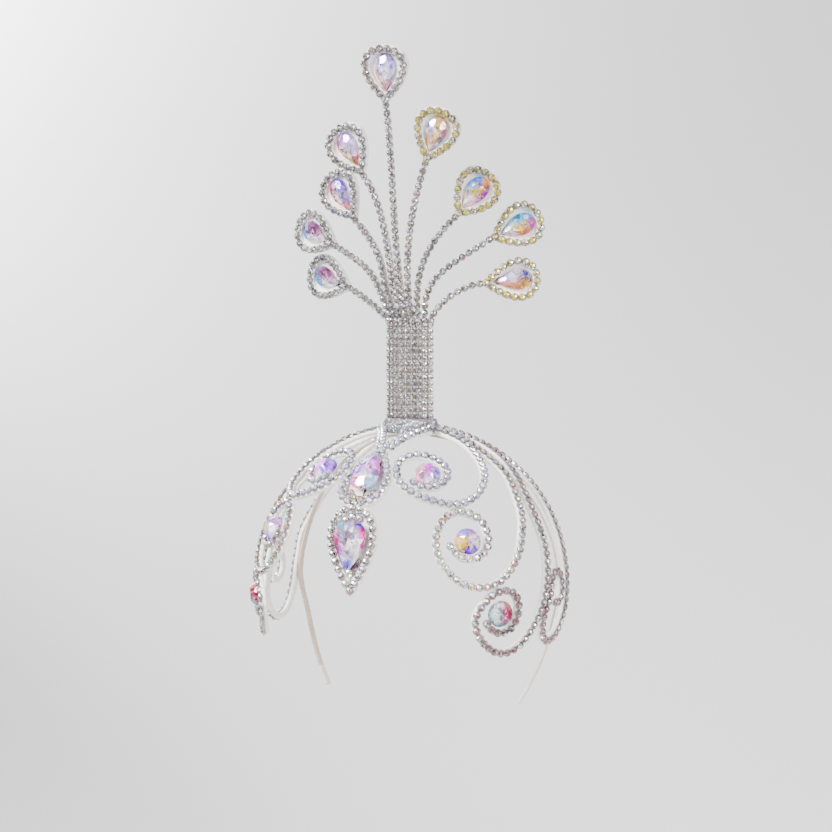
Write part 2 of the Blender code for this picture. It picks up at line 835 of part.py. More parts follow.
def main():
    """Builds every sub-part of the headpiece."""
    clear_scene()
    collection = new_collection(OBJECT_NAME)
    helpers = new_collection("cutters", helpers=True)
    tape, chain, crystal, cloth, band = (
        make_material(finish) for finish in (WRAPPED_TAPE, CRYSTAL_CHAIN, CUT_CRYSTAL, GLITTER_CLOTH, BAND_TAPE)
    )
    add_foot(collection, cloth)
    add_stem(collection, chain)
    for finial in FINIALS:
        add_finial(finial, collection, helpers, tape, crystal)
    for side_name, side in (("left", 1), ("right", -1)):
        for scroll in SCROLLS:
            add_scroll(scroll, side_name, side, collection, tape, crystal)
    add_front(collection, helpers, tape, crystal)
    add_headband(collection, band)


main()
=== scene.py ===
"""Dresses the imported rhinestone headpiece: tape-wound wires, cup chain, cut stones, cloth foot and headband.

Metres, +Z up. The wearer faces -Y and the wearer's left is +X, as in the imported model.
"""

from __future__ import annotations

import logging
import math
from collections.abc import Callable, Sequence
from dataclasses import dataclass, field
from enum import Enum

import bpy
import bmesh
import numpy as np
from mathutils import Matrix, Vector


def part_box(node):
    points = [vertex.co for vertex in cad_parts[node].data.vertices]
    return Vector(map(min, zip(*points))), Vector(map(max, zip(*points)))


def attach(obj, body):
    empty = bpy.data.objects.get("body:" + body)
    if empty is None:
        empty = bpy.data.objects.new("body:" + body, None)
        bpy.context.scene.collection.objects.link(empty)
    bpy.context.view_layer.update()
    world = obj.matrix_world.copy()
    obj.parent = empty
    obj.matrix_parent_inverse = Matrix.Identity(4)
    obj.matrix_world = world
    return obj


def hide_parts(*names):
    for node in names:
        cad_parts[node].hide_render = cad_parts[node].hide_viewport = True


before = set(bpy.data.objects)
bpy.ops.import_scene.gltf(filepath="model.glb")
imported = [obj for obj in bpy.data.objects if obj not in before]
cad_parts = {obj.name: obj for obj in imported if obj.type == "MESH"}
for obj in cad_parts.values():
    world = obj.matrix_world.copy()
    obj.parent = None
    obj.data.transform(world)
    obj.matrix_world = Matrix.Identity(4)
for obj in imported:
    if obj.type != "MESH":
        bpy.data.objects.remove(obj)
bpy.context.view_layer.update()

log = logging.getLogger("rhinestone_headpiece")

MM = 0.001
BODY = "root"

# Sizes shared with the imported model
GAP = 0.3 * MM
CHAIN_HEIGHT = 1.6 * MM
CAP_WIRE = 4.4 * MM
SPRAY_WIRE = 2.9 * MM
BRANCH_WIRE = 4.2 * MM
FRAME_DEPTH = 4.4 * MM
FRAME_BACKING = 1.4 * MM
FINIAL_RIM = 4.6 * MM
FRONT_RIM = 4.5 * MM
PEAR_WIDEST = 4 / (3 * math.sqrt(3))
SLOTS_EACH_SIDE = 4
SLOT_PITCH = 3.3 * MM
SLOT_ARC_RADIUS = 20 * MM
SLOT_ARC_CENTRE_Y = 16 * MM
STEM_TOP = 66 * MM
FOOT_HEIGHT = 9 * MM
RIGHT_SIDE_TURN = 2.2

# Bare wire before a row's first cup and after its last one
ROW_ENDS = (1.5 * MM, 0.6 * MM)

# Walls that show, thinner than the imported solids
WIRE_WALL = 3.0 * MM
SPRAY_WALL = 2.6 * MM
TRAY_BACK = 1.4 * MM
TRAY_FLOOR = 2.4 * MM
CHAIN_INSET = 2.1 * MM
WIRE_STEP = 1.2 * MM
END_REACH = 0.7
END_RINGS = ((1.0, 0.45), (0.75, 0.8))

# Large stones
FINIAL_STONE = (12.8 * MM, 21.3 * MM)
ROUND_STONE = 15.2 * MM
ROUND_STONE_HEIGHT = 6.4 * MM
HUE_STRENGTH = 1.4
HUE_DEPTH = 1.15
HUE_SPREAD = (0.2, 0.09)
FLASH_REACH = 3.2
PATCH_ASPECT = (0.6, 1.0)
PATCH_SOFTNESS = 0.014
# Painted light levels of the large stones' facets, with their odds
PAINTED_CUT_FACET_LIGHT = (0.45, 0.85, 1.0, 1.25)
CUT_SHARES = (0.14, 0.3, 0.36, 0.2)

# Painted reflections of the chain's stones' facets: light levels, and their odds in dull and bright runs
PAINTED_CHAIN_FACET_LIGHT = (0.07, 0.20, 0.48, 0.95)
DULL_SHARES = (0.36, 0.28, 0.22, 0.14)
BRIGHT_SHARES = (0.10, 0.15, 0.35, 0.40)

SCREEN_GAMMA = 2.2

# A slanting line, along which no two corners of a model lie level
SORTING_LINE = Vector((0.613, 0.537, 0.579))

# Inputs of a colour Mix node, factor, first and second, and its result
MIX_INPUTS = (0, 6, 7)
MIX_RESULT = 2

Colour = tuple[float, float, float]


class Side(Enum):
    """Which side of the wearer a piece is on; the value is the sign of its X."""

    LEFT = 1
    RIGHT = -1


class ChainSize(Enum):
    """The sizes of cup chain: (stone diameter, pitch)."""

    STEM = (3.4 * MM, 3.8 * MM)
    FINE = (4.25 * MM, 4.6 * MM)
    WIDE = (4.5 * MM, 4.75 * MM)

    @property
    def stone(self) -> float:
        """Diameter of a stone."""
        return self.value[0]

    @property
    def pitch(self) -> float:
        """Distance from stone to stone."""
        return self.value[1]


class Tone(Enum):
    """The look of a run of chain: (share of coloured facets, brightness from 0 to 1, hues); the brightness is how often
    facets are painted as light reflections.
    """

    GREY = (0.25, 0.15, ((0.62, 0.58, 0.56), (0.56, 0.58, 0.70), (0.66, 0.64, 0.52)))
    ROSE = (0.60, 0.45, ((0.66, 0.44, 0.44), (0.72, 0.56, 0.48), (0.64, 0.56, 0.66), (0.58, 0.40, 0.42)))
    GOLD = (0.95, 0.45, ((0.84, 0.76, 0.30), (0.72, 0.65, 0.28), (0.78, 0.80, 0.46), (0.80, 0.62, 0.34)))
    LILAC = (0.55, 0.80, ((0.74, 0.72, 0.92), (0.70, 0.80, 0.95), (0.86, 0.78, 0.93), (0.88, 0.88, 0.97)))
    BLUSH = (0.35, 0.15, ((0.62, 0.48, 0.46), (0.62, 0.58, 0.46), (0.56, 0.54, 0.62)))
    PEARL = (0.46, 0.75, (
        (0.84, 0.54, 0.36), (0.80, 0.76, 0.44), (0.54, 0.76, 0.64), (0.68, 0.66, 0.90), (0.78, 0.44, 0.44),
    ))


class Iris(Enum):
    """The hues of a large stone's coating, as patches of (across, along, colour); the near-white patches are painted
    highlights.

    across runs from -1 to 1 and along from the tip, 0, to the round end, 1.
    """

    VIOLET = (
        (0.1, 0.85, (0.42, 0.38, 0.62)), (-0.6, 0.7, (0.68, 0.60, 0.84)), (0.6, 0.6, (0.66, 0.66, 0.84)),
        (0.0, 0.5, (0.95, 0.94, 0.95)), (-0.4, 0.35, (0.88, 0.70, 0.44)), (0.0, 0.12, (0.72, 0.50, 0.58)),
    )
    PURPLE = (
        (0.2, 0.9, (0.60, 0.54, 0.84)), (-0.6, 0.75, (0.74, 0.34, 0.56)), (0.5, 0.55, (0.76, 0.72, 0.86)),
        (0.0, 0.5, (0.92, 0.92, 0.93)), (-0.3, 0.3, (0.74, 0.74, 0.40)), (0.1, 0.1, (0.84, 0.42, 0.34)),
    )
    ORCHID = (
        (0.5, 0.8, (0.46, 0.42, 0.74)), (-0.5, 0.75, (0.68, 0.34, 0.50)), (0.5, 0.45, (0.62, 0.56, 0.82)),
        (-0.1, 0.45, (0.97, 0.95, 0.90)), (0.0, 0.15, (0.74, 0.48, 0.44)),
    )
    CYAN = (
        (-0.6, 0.85, (0.30, 0.72, 0.92)), (0.4, 0.9, (0.60, 0.56, 0.70)), (0.0, 0.62, (0.42, 0.20, 0.36)),
        (0.6, 0.55, (0.50, 0.34, 0.46)), (-0.3, 0.4, (1.0, 1.0, 1.0)), (0.4, 0.3, (0.66, 0.50, 0.62)),
        (0.0, 0.1, (0.80, 0.76, 0.82)),
    )
    PEACH = (
        (0.0, 0.85, (0.80, 0.68, 0.42)), (-0.8, 0.7, (0.58, 0.58, 0.80)), (0.7, 0.6, (0.64, 0.46, 0.56)),
        (0.1, 0.5, (0.90, 0.80, 0.58)), (0.5, 0.3, (0.62, 0.62, 0.82)), (-0.3, 0.15, (0.84, 0.66, 0.46)),
    )
    SUNSET = (
        (-0.6, 0.85, (0.36, 0.56, 0.88)), (0.2, 0.8, (0.90, 0.64, 0.36)), (0.8, 0.6, (0.58, 0.32, 0.60)),
        (0.0, 0.55, (0.82, 0.80, 0.46)), (0.2, 0.3, (0.94, 0.76, 0.86)), (0.0, 0.1, (0.96, 0.94, 0.96)),
    )
    TEAL = (
        (0.3, 0.9, (0.64, 0.34, 0.62)), (-0.5, 0.65, (0.46, 0.70, 0.86)), (0.1, 0.6, (0.88, 0.80, 0.42)),
        (0.6, 0.45, (0.78, 0.48, 0.46)), (-0.2, 0.25, (0.70, 0.84, 0.90)), (0.2, 0.15, (0.95, 0.95, 0.97)),
    )
    AMBER = (
        (-0.2, 0.9, (0.24, 0.22, 0.52)), (0.3, 0.75, (0.92, 0.72, 0.42)), (-0.4, 0.55, (0.76, 0.72, 0.82)),
        (0.4, 0.4, (0.88, 0.60, 0.48)), (0.0, 0.2, (0.72, 0.70, 0.78)),
    )
    BROW = (
        (0.6, 0.7, (0.70, 0.48, 0.92)), (0.3, 0.95, (0.96, 0.50, 0.46)), (-0.6, 0.8, (0.70, 0.86, 0.96)),
        (0.0, 0.6, (0.94, 0.92, 0.96)), (-0.5, 0.45, (0.92, 0.52, 0.88)), (-0.1, 0.15, (0.76, 0.60, 0.88)),
    )
    FOREHEAD = (
        (-0.75, 0.95, (0.40, 0.72, 0.99)), (0.45, 0.98, (0.30, 0.20, 0.74)), (0.98, 0.72, (0.80, 0.10, 0.58)),
        (-0.1, 0.85, (0.56, 0.50, 0.44)), (-0.98, 0.62, (0.68, 0.10, 0.48)), (0.1, 0.65, (0.74, 0.72, 0.72)),
        (0.35, 0.4, (1.0, 1.0, 1.0)), (-0.1, 0.5, (0.66, 0.64, 0.68)), (-0.75, 0.35, (0.76, 0.12, 0.60)),
        (-0.1, 0.1, (0.38, 0.18, 0.82)),
    )
    MAGENTA = (
        (0.0, 0.5, (0.88, 0.40, 0.94)), (0.7, 0.5, (0.62, 0.50, 0.90)), (-0.4, 0.8, (0.72, 0.72, 0.66)),
        (-0.6, 0.4, (0.95, 0.70, 0.78)), (0.2, 0.1, (0.93, 0.93, 0.97)),
    )
    LAVENDER = (
        (-0.3, 0.9, (0.56, 0.54, 0.92)), (0.6, 0.85, (0.80, 0.54, 0.88)), (-0.4, 0.45, (0.98, 0.82, 0.54)),
        (0.5, 0.45, (0.96, 0.94, 0.94)), (0.1, 0.05, (0.56, 0.36, 0.88)),
    )
    RUBY = (
        (-0.6, 0.6, (0.86, 0.94, 0.96)), (0.0, 0.5, (0.80, 0.22, 0.56)), (0.7, 0.6, (0.56, 0.18, 0.30)),
        (0.4, 0.9, (0.80, 0.54, 0.56)), (0.1, 0.05, (0.50, 0.72, 0.74)),
    )


@dataclass(frozen=True)
class FinialPlan:
    """One row of the fan: its wire's slot, its teardrop's place and turn, in mm and degrees, and its hues."""

    name: str
    slot: int
    tip: tuple[float, float, float]
    yaw: float
    pitch: float
    lean: float
    width: float
    length: float
    wire_lean: float
    start_side: float
    start_forward: float
    start_pull: float
    end_pull: float
    iris: Iris
    tone: Tone


FINIALS = (
    FinialPlan(
        "centre", 0, (1.2, -36, 193.5), 0, 12, 3, 28.6, 34.0, -4, -11, 16, 29, 29, Iris.VIOLET, Tone.BLUSH,
    ),
    FinialPlan(
        "left_1", 1, (21.4, -26, 160.0), 10, 10, 21, 27.3, 33.2, 21, -7, 13, 32, 31, Iris.PEACH, Tone.GOLD,
    ),
    FinialPlan(
        "left_2", 2, (31.5, -6, 129.1), 18, 5, 39, 27.4, 33.3, 47, -3, 11, 26, 28, Iris.SUNSET, Tone.GOLD,
    ),
    FinialPlan(
        "left_3", 3, (47.8, 7, 115.9), 24, 0, 65, 26.7, 33.8, 57, 1, 9, 27, 36, Iris.TEAL, Tone.GOLD,
    ),
    FinialPlan(
        "left_4", 4, (40.5, 11, 89.6), 24, 0, 83, 26.0, 35.5, 85, 6, 7, 9, 13, Iris.AMBER, Tone.GOLD,
    ),
    FinialPlan(
        "right_1", -1, (-17.6, -26, 153.3), -6, 10, -29, 28.4, 33.0, -35, -15, 13, 29, 29, Iris.PURPLE, Tone.GREY,
    ),
    FinialPlan(
        "right_2", -2, (-32.5, -6, 127.6), -12, 5, -34, 28.4, 33.3, -43, -20, 11, 38, 38, Iris.ORCHID, Tone.GREY,
    ),
    FinialPlan(
        "right_3", -3, (-52.2, 7, 112.0), -16, 0, -67, 26.6, 34.5, -65, -25, 9, 32, 39, Iris.CYAN, Tone.GREY,
    ),
    FinialPlan(
        "right_4", -4, (-44.4, 11, 86.3), -18, 0, -74, 27.6, 36.5, -68, -45, 7, 4, 15, Iris.CYAN, Tone.GREY,
    ),
)


@dataclass(frozen=True)
class ScrollPlan:
    """One wire of the cap on the wearer's left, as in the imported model.

    limb rows are (compass, drop from the top) in degrees; coil rows are (turn, radius in mm) round the centre.
    """

    name: str
    compass: float
    drop: float
    limb: tuple[tuple[float, float], ...]
    coil: tuple[tuple[float, float], ...]
    iris: Iris | None
    tone: Tone


SCROLLS = (
    ScrollPlan(
        "scroll_1", 32.2, 40.0,
        ((82.0, 11.2), (81.0, 15.5), (80.2, 20.8), (77, 27), (72.5, 33.2)),
        ((163, 37.6), (182, 34.2), (207, 30.6), (235, 26.0), (265, 20.0), (295, 17.2), (330, 17.2), (370, 18.0),
         (405, 18.6), (445, 15.9), (490, 13.1), (545, 11.7), (600, 10.5), (650, 10.5), (695, 11.2)),
        Iris.MAGENTA, Tone.LILAC,
    ),
    ScrollPlan(
        "scroll_2", 45.0, 67.4,
        ((99.0, 10.8), (94.6, 14.5), (90, 20.7), (84.8, 27.4), (84, 33), (83.7, 38.2), (83.1, 43), (80.6, 47.6),
         (77.8, 53.1)),
        ((157, 46.0), (170, 40.0), (187, 35.2), (207, 31.7), (232, 29.6), (261, 27.0), (292, 23.6), (325, 20.8),
         (362, 19.2), (400, 18.4), (435, 18.2), (462, 17.0), (486, 15.8), (515, 13.9), (551, 12.4), (590, 11.1),
         (630, 10.5), (670, 10.5), (705, 11.2), (725, 12.6)),
        Iris.LAVENDER, Tone.PEARL,
    ),
    ScrollPlan(
        "scroll_3", 56.2, 93.45,
        ((122.0, 9.0), (119.6, 12.5), (117.4, 16.4), (113, 24), (106.8, 30.8), (100, 37.1), (95.2, 41.6),
         (91.8, 46), (88.4, 50.5), (86.1, 54.5), (84.6, 59.7), (84, 65.7), (83.4, 72.6), (82.4, 77.8)),
        ((156, 44.8), (168, 38.6), (182, 33.3), (206, 27.9), (235, 26.2), (262, 24.2), (291, 20.4), (325, 18.2),
         (356, 16.8), (385, 13.9), (418, 12.7), (450, 13.0), (485, 14.2), (515, 13.6), (550, 12.2), (590, 11.8),
         (625, 11.3), (660, 10.5), (700, 10.5)),
        Iris.RUBY, Tone.ROSE,
    ),
    ScrollPlan(
        "scroll_4", 89.4, 87.7,
        ((150, 7.6), (142, 11.5), (135, 17.1), (129, 27.1), (123.2, 38.5), (117.8, 48.9), (112.9, 58),
         (109.8, 65.2), (106.8, 72.2), (104.6, 78.4)),
        ((165, 25.0), (185, 22.8), (210, 23.6), (240, 27.0), (265, 31.0), (285, 32.6), (300, 30.6), (315, 25.5),
         (330, 16.4), (350, 11.0), (380, 10.0), (420, 9.6), (470, 8.6), (530, 7.6), (590, 8.4), (640, 9.6),
         (670, 9.8)),
        None, Tone.ROSE,
    ),
)


@dataclass(frozen=True)
class FrontPlan:
    """A teardrop of the front, from its tip to where both meet, and its pear stone, in mm."""

    name: str
    tip: tuple[float, float, float]
    width: float
    stone_width: float
    stone_length: float
    stone_start: float
    girdle: float
    stone_height: float
    iris: Iris


FRONT_MEETING = np.array([-3.8, -74.0, -34.4]) * MM
BROW = FrontPlan("brow", (-0.2, -38.6, -3.6), 30.0, 17.0, 27.6, 8.8, 6.0, 9.4, Iris.BROW)
FOREHEAD = FrontPlan("forehead", (-0.9, -84.8, -85.7), 30.6, 20.4, 29.2, 14.6, 5.6, 9.4, Iris.FOREHEAD)
BRANCH_POINTS = ((1.6, -40.0), (5.8, -28.0), (10.8, -16.8), (15.9, -7.1))

BAND_WIDTH = 4.0 * MM
BAND_THICKNESS = 1.2 * MM
BAND_DEPTH = CHAIN_HEIGHT + CAP_WIRE + GAP + BAND_THICKNESS / 2
BAND_END_WIDTH = 5.0 * MM
BAND_END_THICKNESS = 2.4 * MM
BAND_END_LENGTH = 12 * MM
BAND_ROWS = ((0, 11.2), (20, 11.6), (36, 14.0), (52, 18.0), (66, 21.5), (77, 23.5), (84, 23.3))
BAND_TAIL = (
    (86.0, 21.9, -88), (85.4, 21.4, -100), (82.4, 21.9, -113), (79.4, 22.2, -126.8), (69.2, 17.4, -152.5),
    (64.0, 15.4, -161.9),
)


# Shapes of the wires


@dataclass(frozen=True)
class Dome:
    """The shallow dome that the cap's crystals lie on."""

    radii: np.ndarray = field(default_factory=lambda: np.array([96.0, 91.0, 96.0]) * MM)
    centre: np.ndarray = field(default_factory=lambda: np.array([0.0, 0.0, -90.0]) * MM)
    mean_radius: float = 94 * MM

    def direction(self, compass: float, drop: float) -> np.ndarray:
        """The unit sphere's point at a compass angle and a drop from the top, in degrees."""
        compass, drop = math.radians(compass), math.radians(drop)
        return np.array([math.sin(drop) * math.sin(compass), -math.sin(drop) * math.cos(compass), math.cos(drop)])

    def place(self, unit: np.ndarray, depth: float) -> np.ndarray:
        """The place of a unit sphere's point, at a depth under the crystals."""
        return self.centre + unit * (self.radii - depth)

    def over(self, x: float, y: float, depth: float, shrink: float = 0.0) -> np.ndarray:
        """The place over a point of the ground plan.

        Args:
            x: the point's X, in mm.
            y: the point's Y, in mm.
            depth: how far the place lies under the crystals.
            shrink: how much smaller than the dome the plan is drawn.

        Returns:
            The place.
        """
        flat = np.array([x, y]) * MM / (self.radii[:2] - shrink)
        return self.place(np.array([*flat, math.sqrt(max(0.0, 1 - flat @ flat))]), depth)

    def round_centre(self, unit: np.ndarray, turn: float, radius: float) -> np.ndarray:
        """The unit sphere's point at a turn in degrees and a distance round another point.

        Args:
            unit: the middle point.
            turn: the turn in degrees.
            radius: the distance over the dome.

        Returns:
            A point of the unit sphere.
        """
        up = np.array([0.0, 0.0, 1.0]) - unit[2] * unit
        up /= np.linalg.norm(up)
        angle, turn = radius / self.mean_radius, math.radians(turn)
        side = math.cos(turn) * np.cross(unit, up) + math.sin(turn) * up
        return math.cos(angle) * unit + math.sin(angle) * side

    def outward(self, points: np.ndarray) -> np.ndarray:
        """Unit vectors square to the dome at some points."""
        return unit_rows((points - self.centre) / self.radii**2)


DOME = Dome()


def unit_rows(rows: np.ndarray) -> np.ndarray:
    """Each row, scaled to length 1."""
    return rows / np.linalg.norm(rows, axis=-1, keepdims=True)


def spline(places: np.ndarray, values: np.ndarray, wanted: np.ndarray) -> np.ndarray:
    """Natural cubic spline.

    Args:
        places: rising places of the given values.
        values: one value or one row for each place.
        wanted: the places to read.

    Returns:
        The values at the wanted places.
    """
    places, values = np.asarray(places, float), np.asarray(values, float)
    count, gaps = len(places), np.diff(places)
    matrix, right = np.eye(count), np.zeros(values.shape)
    for i in range(1, count - 1):
        matrix[i, i - 1 : i + 2] = gaps[i - 1], 2 * (gaps[i - 1] + gaps[i]), gaps[i]
        slopes = (values[i + 1] - values[i]) / gaps[i], (values[i] - values[i - 1]) / gaps[i - 1]
        right[i] = 6 * (slopes[0] - slopes[1])
    bends = np.linalg.solve(matrix, right)
    index = np.clip(np.searchsorted(places, wanted, side="right") - 1, 0, count - 2)
    gap = gaps[index]
    after, before = (places[index + 1] - wanted) / gap, (wanted - places[index]) / gap
    if values.ndim > 1:
        gap, after, before = gap[:, None], after[:, None], before[:, None]
    straight = after * values[index] + before * values[index + 1]
    bend = (after**3 - after) * bends[index] + (before**3 - before) * bends[index + 1]
    return straight + bend * gap**2 / 6


def lengths_along(points: np.ndarray) -> np.ndarray:
    """Distance of each point from the first, along the points."""
    return np.concatenate([[0.0], np.cumsum(np.linalg.norm(np.diff(points, axis=0), axis=1))])


def spread(places: np.ndarray, own: np.ndarray, rows: np.ndarray) -> np.ndarray:
    """Rows read in straight lines at some places, from rows at their own places."""
    return np.stack([np.interp(places, own, column) for column in rows.T], 1)


def smooth_through(points: Sequence[np.ndarray], spacing: float = 1 * MM) -> np.ndarray:
    """Closely spaced points on a smooth curve through the given ones.

    Args:
        points: the given points.
        spacing: how far apart the new ones are, about.

    Returns:
        The new points.
    """
    points = np.asarray(points, float)
    along = lengths_along(points)
    return spline(along, points, np.linspace(0, along[-1], int(along[-1] / spacing) + 2))


def pear(width: float, length: float, count: int) -> np.ndarray:
    """Outline of a teardrop with its tip at (0, 0) and its round end at (0, length)."""
    t = np.arange(count) * 2 * math.pi / count
    return np.stack([width / 2 / PEAR_WIDEST * np.sin(t) * np.sin(t / 2), length / 2 * (1 - np.cos(t))], axis=1)


@dataclass
class Run:
    """A path that a wire or a chain follows, with the way its crystal face looks at each point."""

    points: np.ndarray
    facing: np.ndarray

    def axes(self) -> tuple[np.ndarray, np.ndarray, np.ndarray]:
        """(along, across, facing) unit rows at each point.

        Returns:
            Three arrays with a row for each point.
        """
        single = len(self.points) < 2
        along = np.array([[0.0, 0.0, 1.0]]) if single else unit_rows(np.gradient(self.points, axis=0))
        facing = unit_rows(self.facing - (self.facing * along).sum(1, keepdims=True) * along)
        return along, np.cross(facing, along), facing

    def at(self, places: np.ndarray) -> Run:
        """The run read at some distances from its start."""
        own = lengths_along(self.points)
        return Run(*(spread(places, own, rows) for rows in (self.points, self.facing)))

    def length(self) -> float:
        """Length from end to end."""
        return float(lengths_along(self.points)[-1])

    def raised(self, height: float) -> Run:
        """The run moved outwards by a height."""
        return Run(self.points + self.axes()[2] * height, self.facing)

    def mirrored(self, side: Side) -> Run:
        """The run on the wearer's left, or its mirror image on the right."""
        flip = np.array([side.value, 1.0, 1.0])
        return Run(self.points * flip, self.facing * flip)

    def evenly(self, pitch: float, first: float, last: float) -> Run:
        """The run at even places about a pitch apart, from a distance after its start to one before its end."""
        span = self.length() - first - last
        return self.at(first + np.linspace(0, span, max(2, round(span / pitch) + 1)))


def slot_facing(slot: int) -> np.ndarray:
    """The way the stem's chain in a slot looks."""
    angle = slot * SLOT_PITCH / SLOT_ARC_RADIUS
    return np.array([math.sin(angle), -math.cos(angle), 0.0])


def slot_place(slot: int, height: float) -> np.ndarray:
    """Where the stem's wire in a slot is, at a height."""
    return slot_facing(slot) * SLOT_ARC_RADIUS + (0.0, SLOT_ARC_CENTRE_Y, height)


def laid_flat(flat: np.ndarray, height: float, place: Matrix) -> Run:
    """Points of a plan at a height, put in place, all looking the way the plan does.

    Args:
        flat: the points, as (x, y).
        height: their Z.
        place: where the plan goes.

    Returns:
        The points in place.
    """
    matrix = np.array(place)
    solid = np.column_stack([flat, np.full(len(flat), height), np.ones(len(flat))])
    return Run((matrix @ solid.T).T[:, :3], np.tile(matrix[:3, 2], (len(flat), 1)))


# Modelling


def only(obj: bpy.types.Object) -> None:
    """Selects one object and makes it active.

    Args:
        obj: the object.
    """
    bpy.ops.object.select_all(action="DESELECT")
    obj.select_set(True)
    bpy.context.view_layer.objects.active = obj


def select_faces(obj: bpy.types.Object, test: Callable[[Vector, Vector], bool]) -> None:
    """In edit mode, selects the faces whose centre and normal pass a test.

    Args:
        obj: the object in edit mode.
        test: takes a face's centre and normal.
    """
    shape = bmesh.from_edit_mesh(obj.data)
    bpy.ops.mesh.select_all(action="DESELECT")
    bpy.ops.mesh.select_mode(type="FACE")
    for face in shape.faces:
        face.select_set(test(face.calc_center_median(), face.normal))
    bmesh.update_edit_mesh(obj.data)


def select_edges(obj: bpy.types.Object, test: Callable[[Vector], bool]) -> None:
    """In edit mode, selects the edges whose middle passes a test.

    Args:
        obj: the object in edit mode.
        test: takes an edge's middle.
    """
    shape = bmesh.from_edit_mesh(obj.data)
    bpy.ops.mesh.select_all(action="DESELECT")
    bpy.ops.mesh.select_mode(type="EDGE")
    for edge in shape.edges:
        edge.select_set(test((edge.verts[0].co + edge.verts[1].co) / 2))
    bmesh.update_edit_mesh(obj.data)


def extrude_up(distance: float) -> None:
    """Extrudes the selected faces along Z."""
    bpy.ops.mesh.extrude_region_move(TRANSFORM_OT_translate={"value": (0, 0, distance)})


def scale_flat(share: float, centre: Sequence[float] = (0, 0, 0)) -> None:
    """Scales what is selected across, about a centre."""
    bpy.ops.transform.resize(value=(share, share, 1), center_override=centre)


def add_outline(points: np.ndarray, height: float) -> bpy.types.Object:
    """A flat face at a height, with a circle's vertices moved to an outline; it is left in edit mode, selected.

    Args:
        points: the outline, as (x, y).
        height: the face's Z.

    Returns:
        The object in edit mode.
    """
    bpy.ops.object.select_all(action="DESELECT")
    bpy.ops.mesh.primitive_circle_add(vertices=len(points), radius=points[:, 1].max(), fill_type="NGON")
    piece = bpy.context.active_object
    for vertex, (x, y) in zip(piece.data.vertices, points):
        vertex.co = (x, y, height)
    bpy.ops.object.mode_set(mode="EDIT")
    bpy.ops.mesh.select_all(action="SELECT")
    return piece


def new_piece(
    name: str, data: bpy.types.Mesh, materials: Sequence[bpy.types.Material], replaced: str = ""
) -> bpy.types.Object:
    """A finished piece that rides on the body.

    Args:
        name: the piece's name.
        data: its mesh, in place.
        materials: its materials, in the order of their slots.
        replaced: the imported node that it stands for, if any.

    Returns:
        The new object.
    """
    piece = bpy.data.objects.new(name, data)
    data.name = name
    data.materials.clear()
    for material in materials:
        data.materials.append(material)
    bpy.context.scene.collection.objects.link(piece)
    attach(piece, BODY)
    if replaced:
        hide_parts(replaced)
    log.info("%s: %d faces", name, len(data.polygons))
    return piece


def take_mesh(obj: bpy.types.Object) -> bpy.types.Mesh:
    """The object's mesh, its faces in the same order on each run; the object is removed.

    Args:
        obj: the object.

    Returns:
        Its mesh.
    """
    data = obj.data
    bpy.data.objects.remove(obj)
    shape = bmesh.new()
    shape.from_mesh(data)
    shape.verts.sort(key=lambda corner: corner.co.dot(SORTING_LINE))
    shape.faces.sort(key=lambda face: face.calc_center_median().dot(SORTING_LINE))
    shape.to_mesh(data)
    shape.free()
    return data


def apply_bevel(obj: bpy.types.Object, width: float, segments: int, degrees: float) -> None:
    """Rounds the sharp edges with an applied Bevel modifier.

    Args:
        obj: the object.
        width: the bevel's width.
        segments: its segments.
        degrees: how sharp an edge has to be.
    """
    only(obj)
    rounding = obj.modifiers.new("rounded_edges", "BEVEL")
    rounding.width = width
    rounding.segments = segments
    rounding.limit_method = "ANGLE"
    rounding.angle_limit = math.radians(degrees)
    bpy.ops.object.modifier_apply(modifier=rounding.name)


def rounded_section(width: float, depth: float, corner: float, steps: int = 3) -> np.ndarray:
    """Rounded rectangle (across, outward) for a sweep, starting in the middle of its underside.

    Args:
        width: its size across.
        depth: its size outwards.
        corner: radius of its corners.
        steps: faces round each corner.

    Returns:
        The points, in their order round the wire.
    """
    points = [(0.0, -depth / 2)]
    for cx, cy, start in ((1, -1, -90), (1, 1, 0), (-1, 1, 90), (-1, -1, 180)):
        for k in range(steps + 1):
            angle = math.radians(start + 90 * k / steps)
            x = cx * (width / 2 - corner) + corner * math.cos(angle)
            points.append((x, cy * (depth / 2 - corner) + corner * math.sin(angle)))
    return np.array(points)


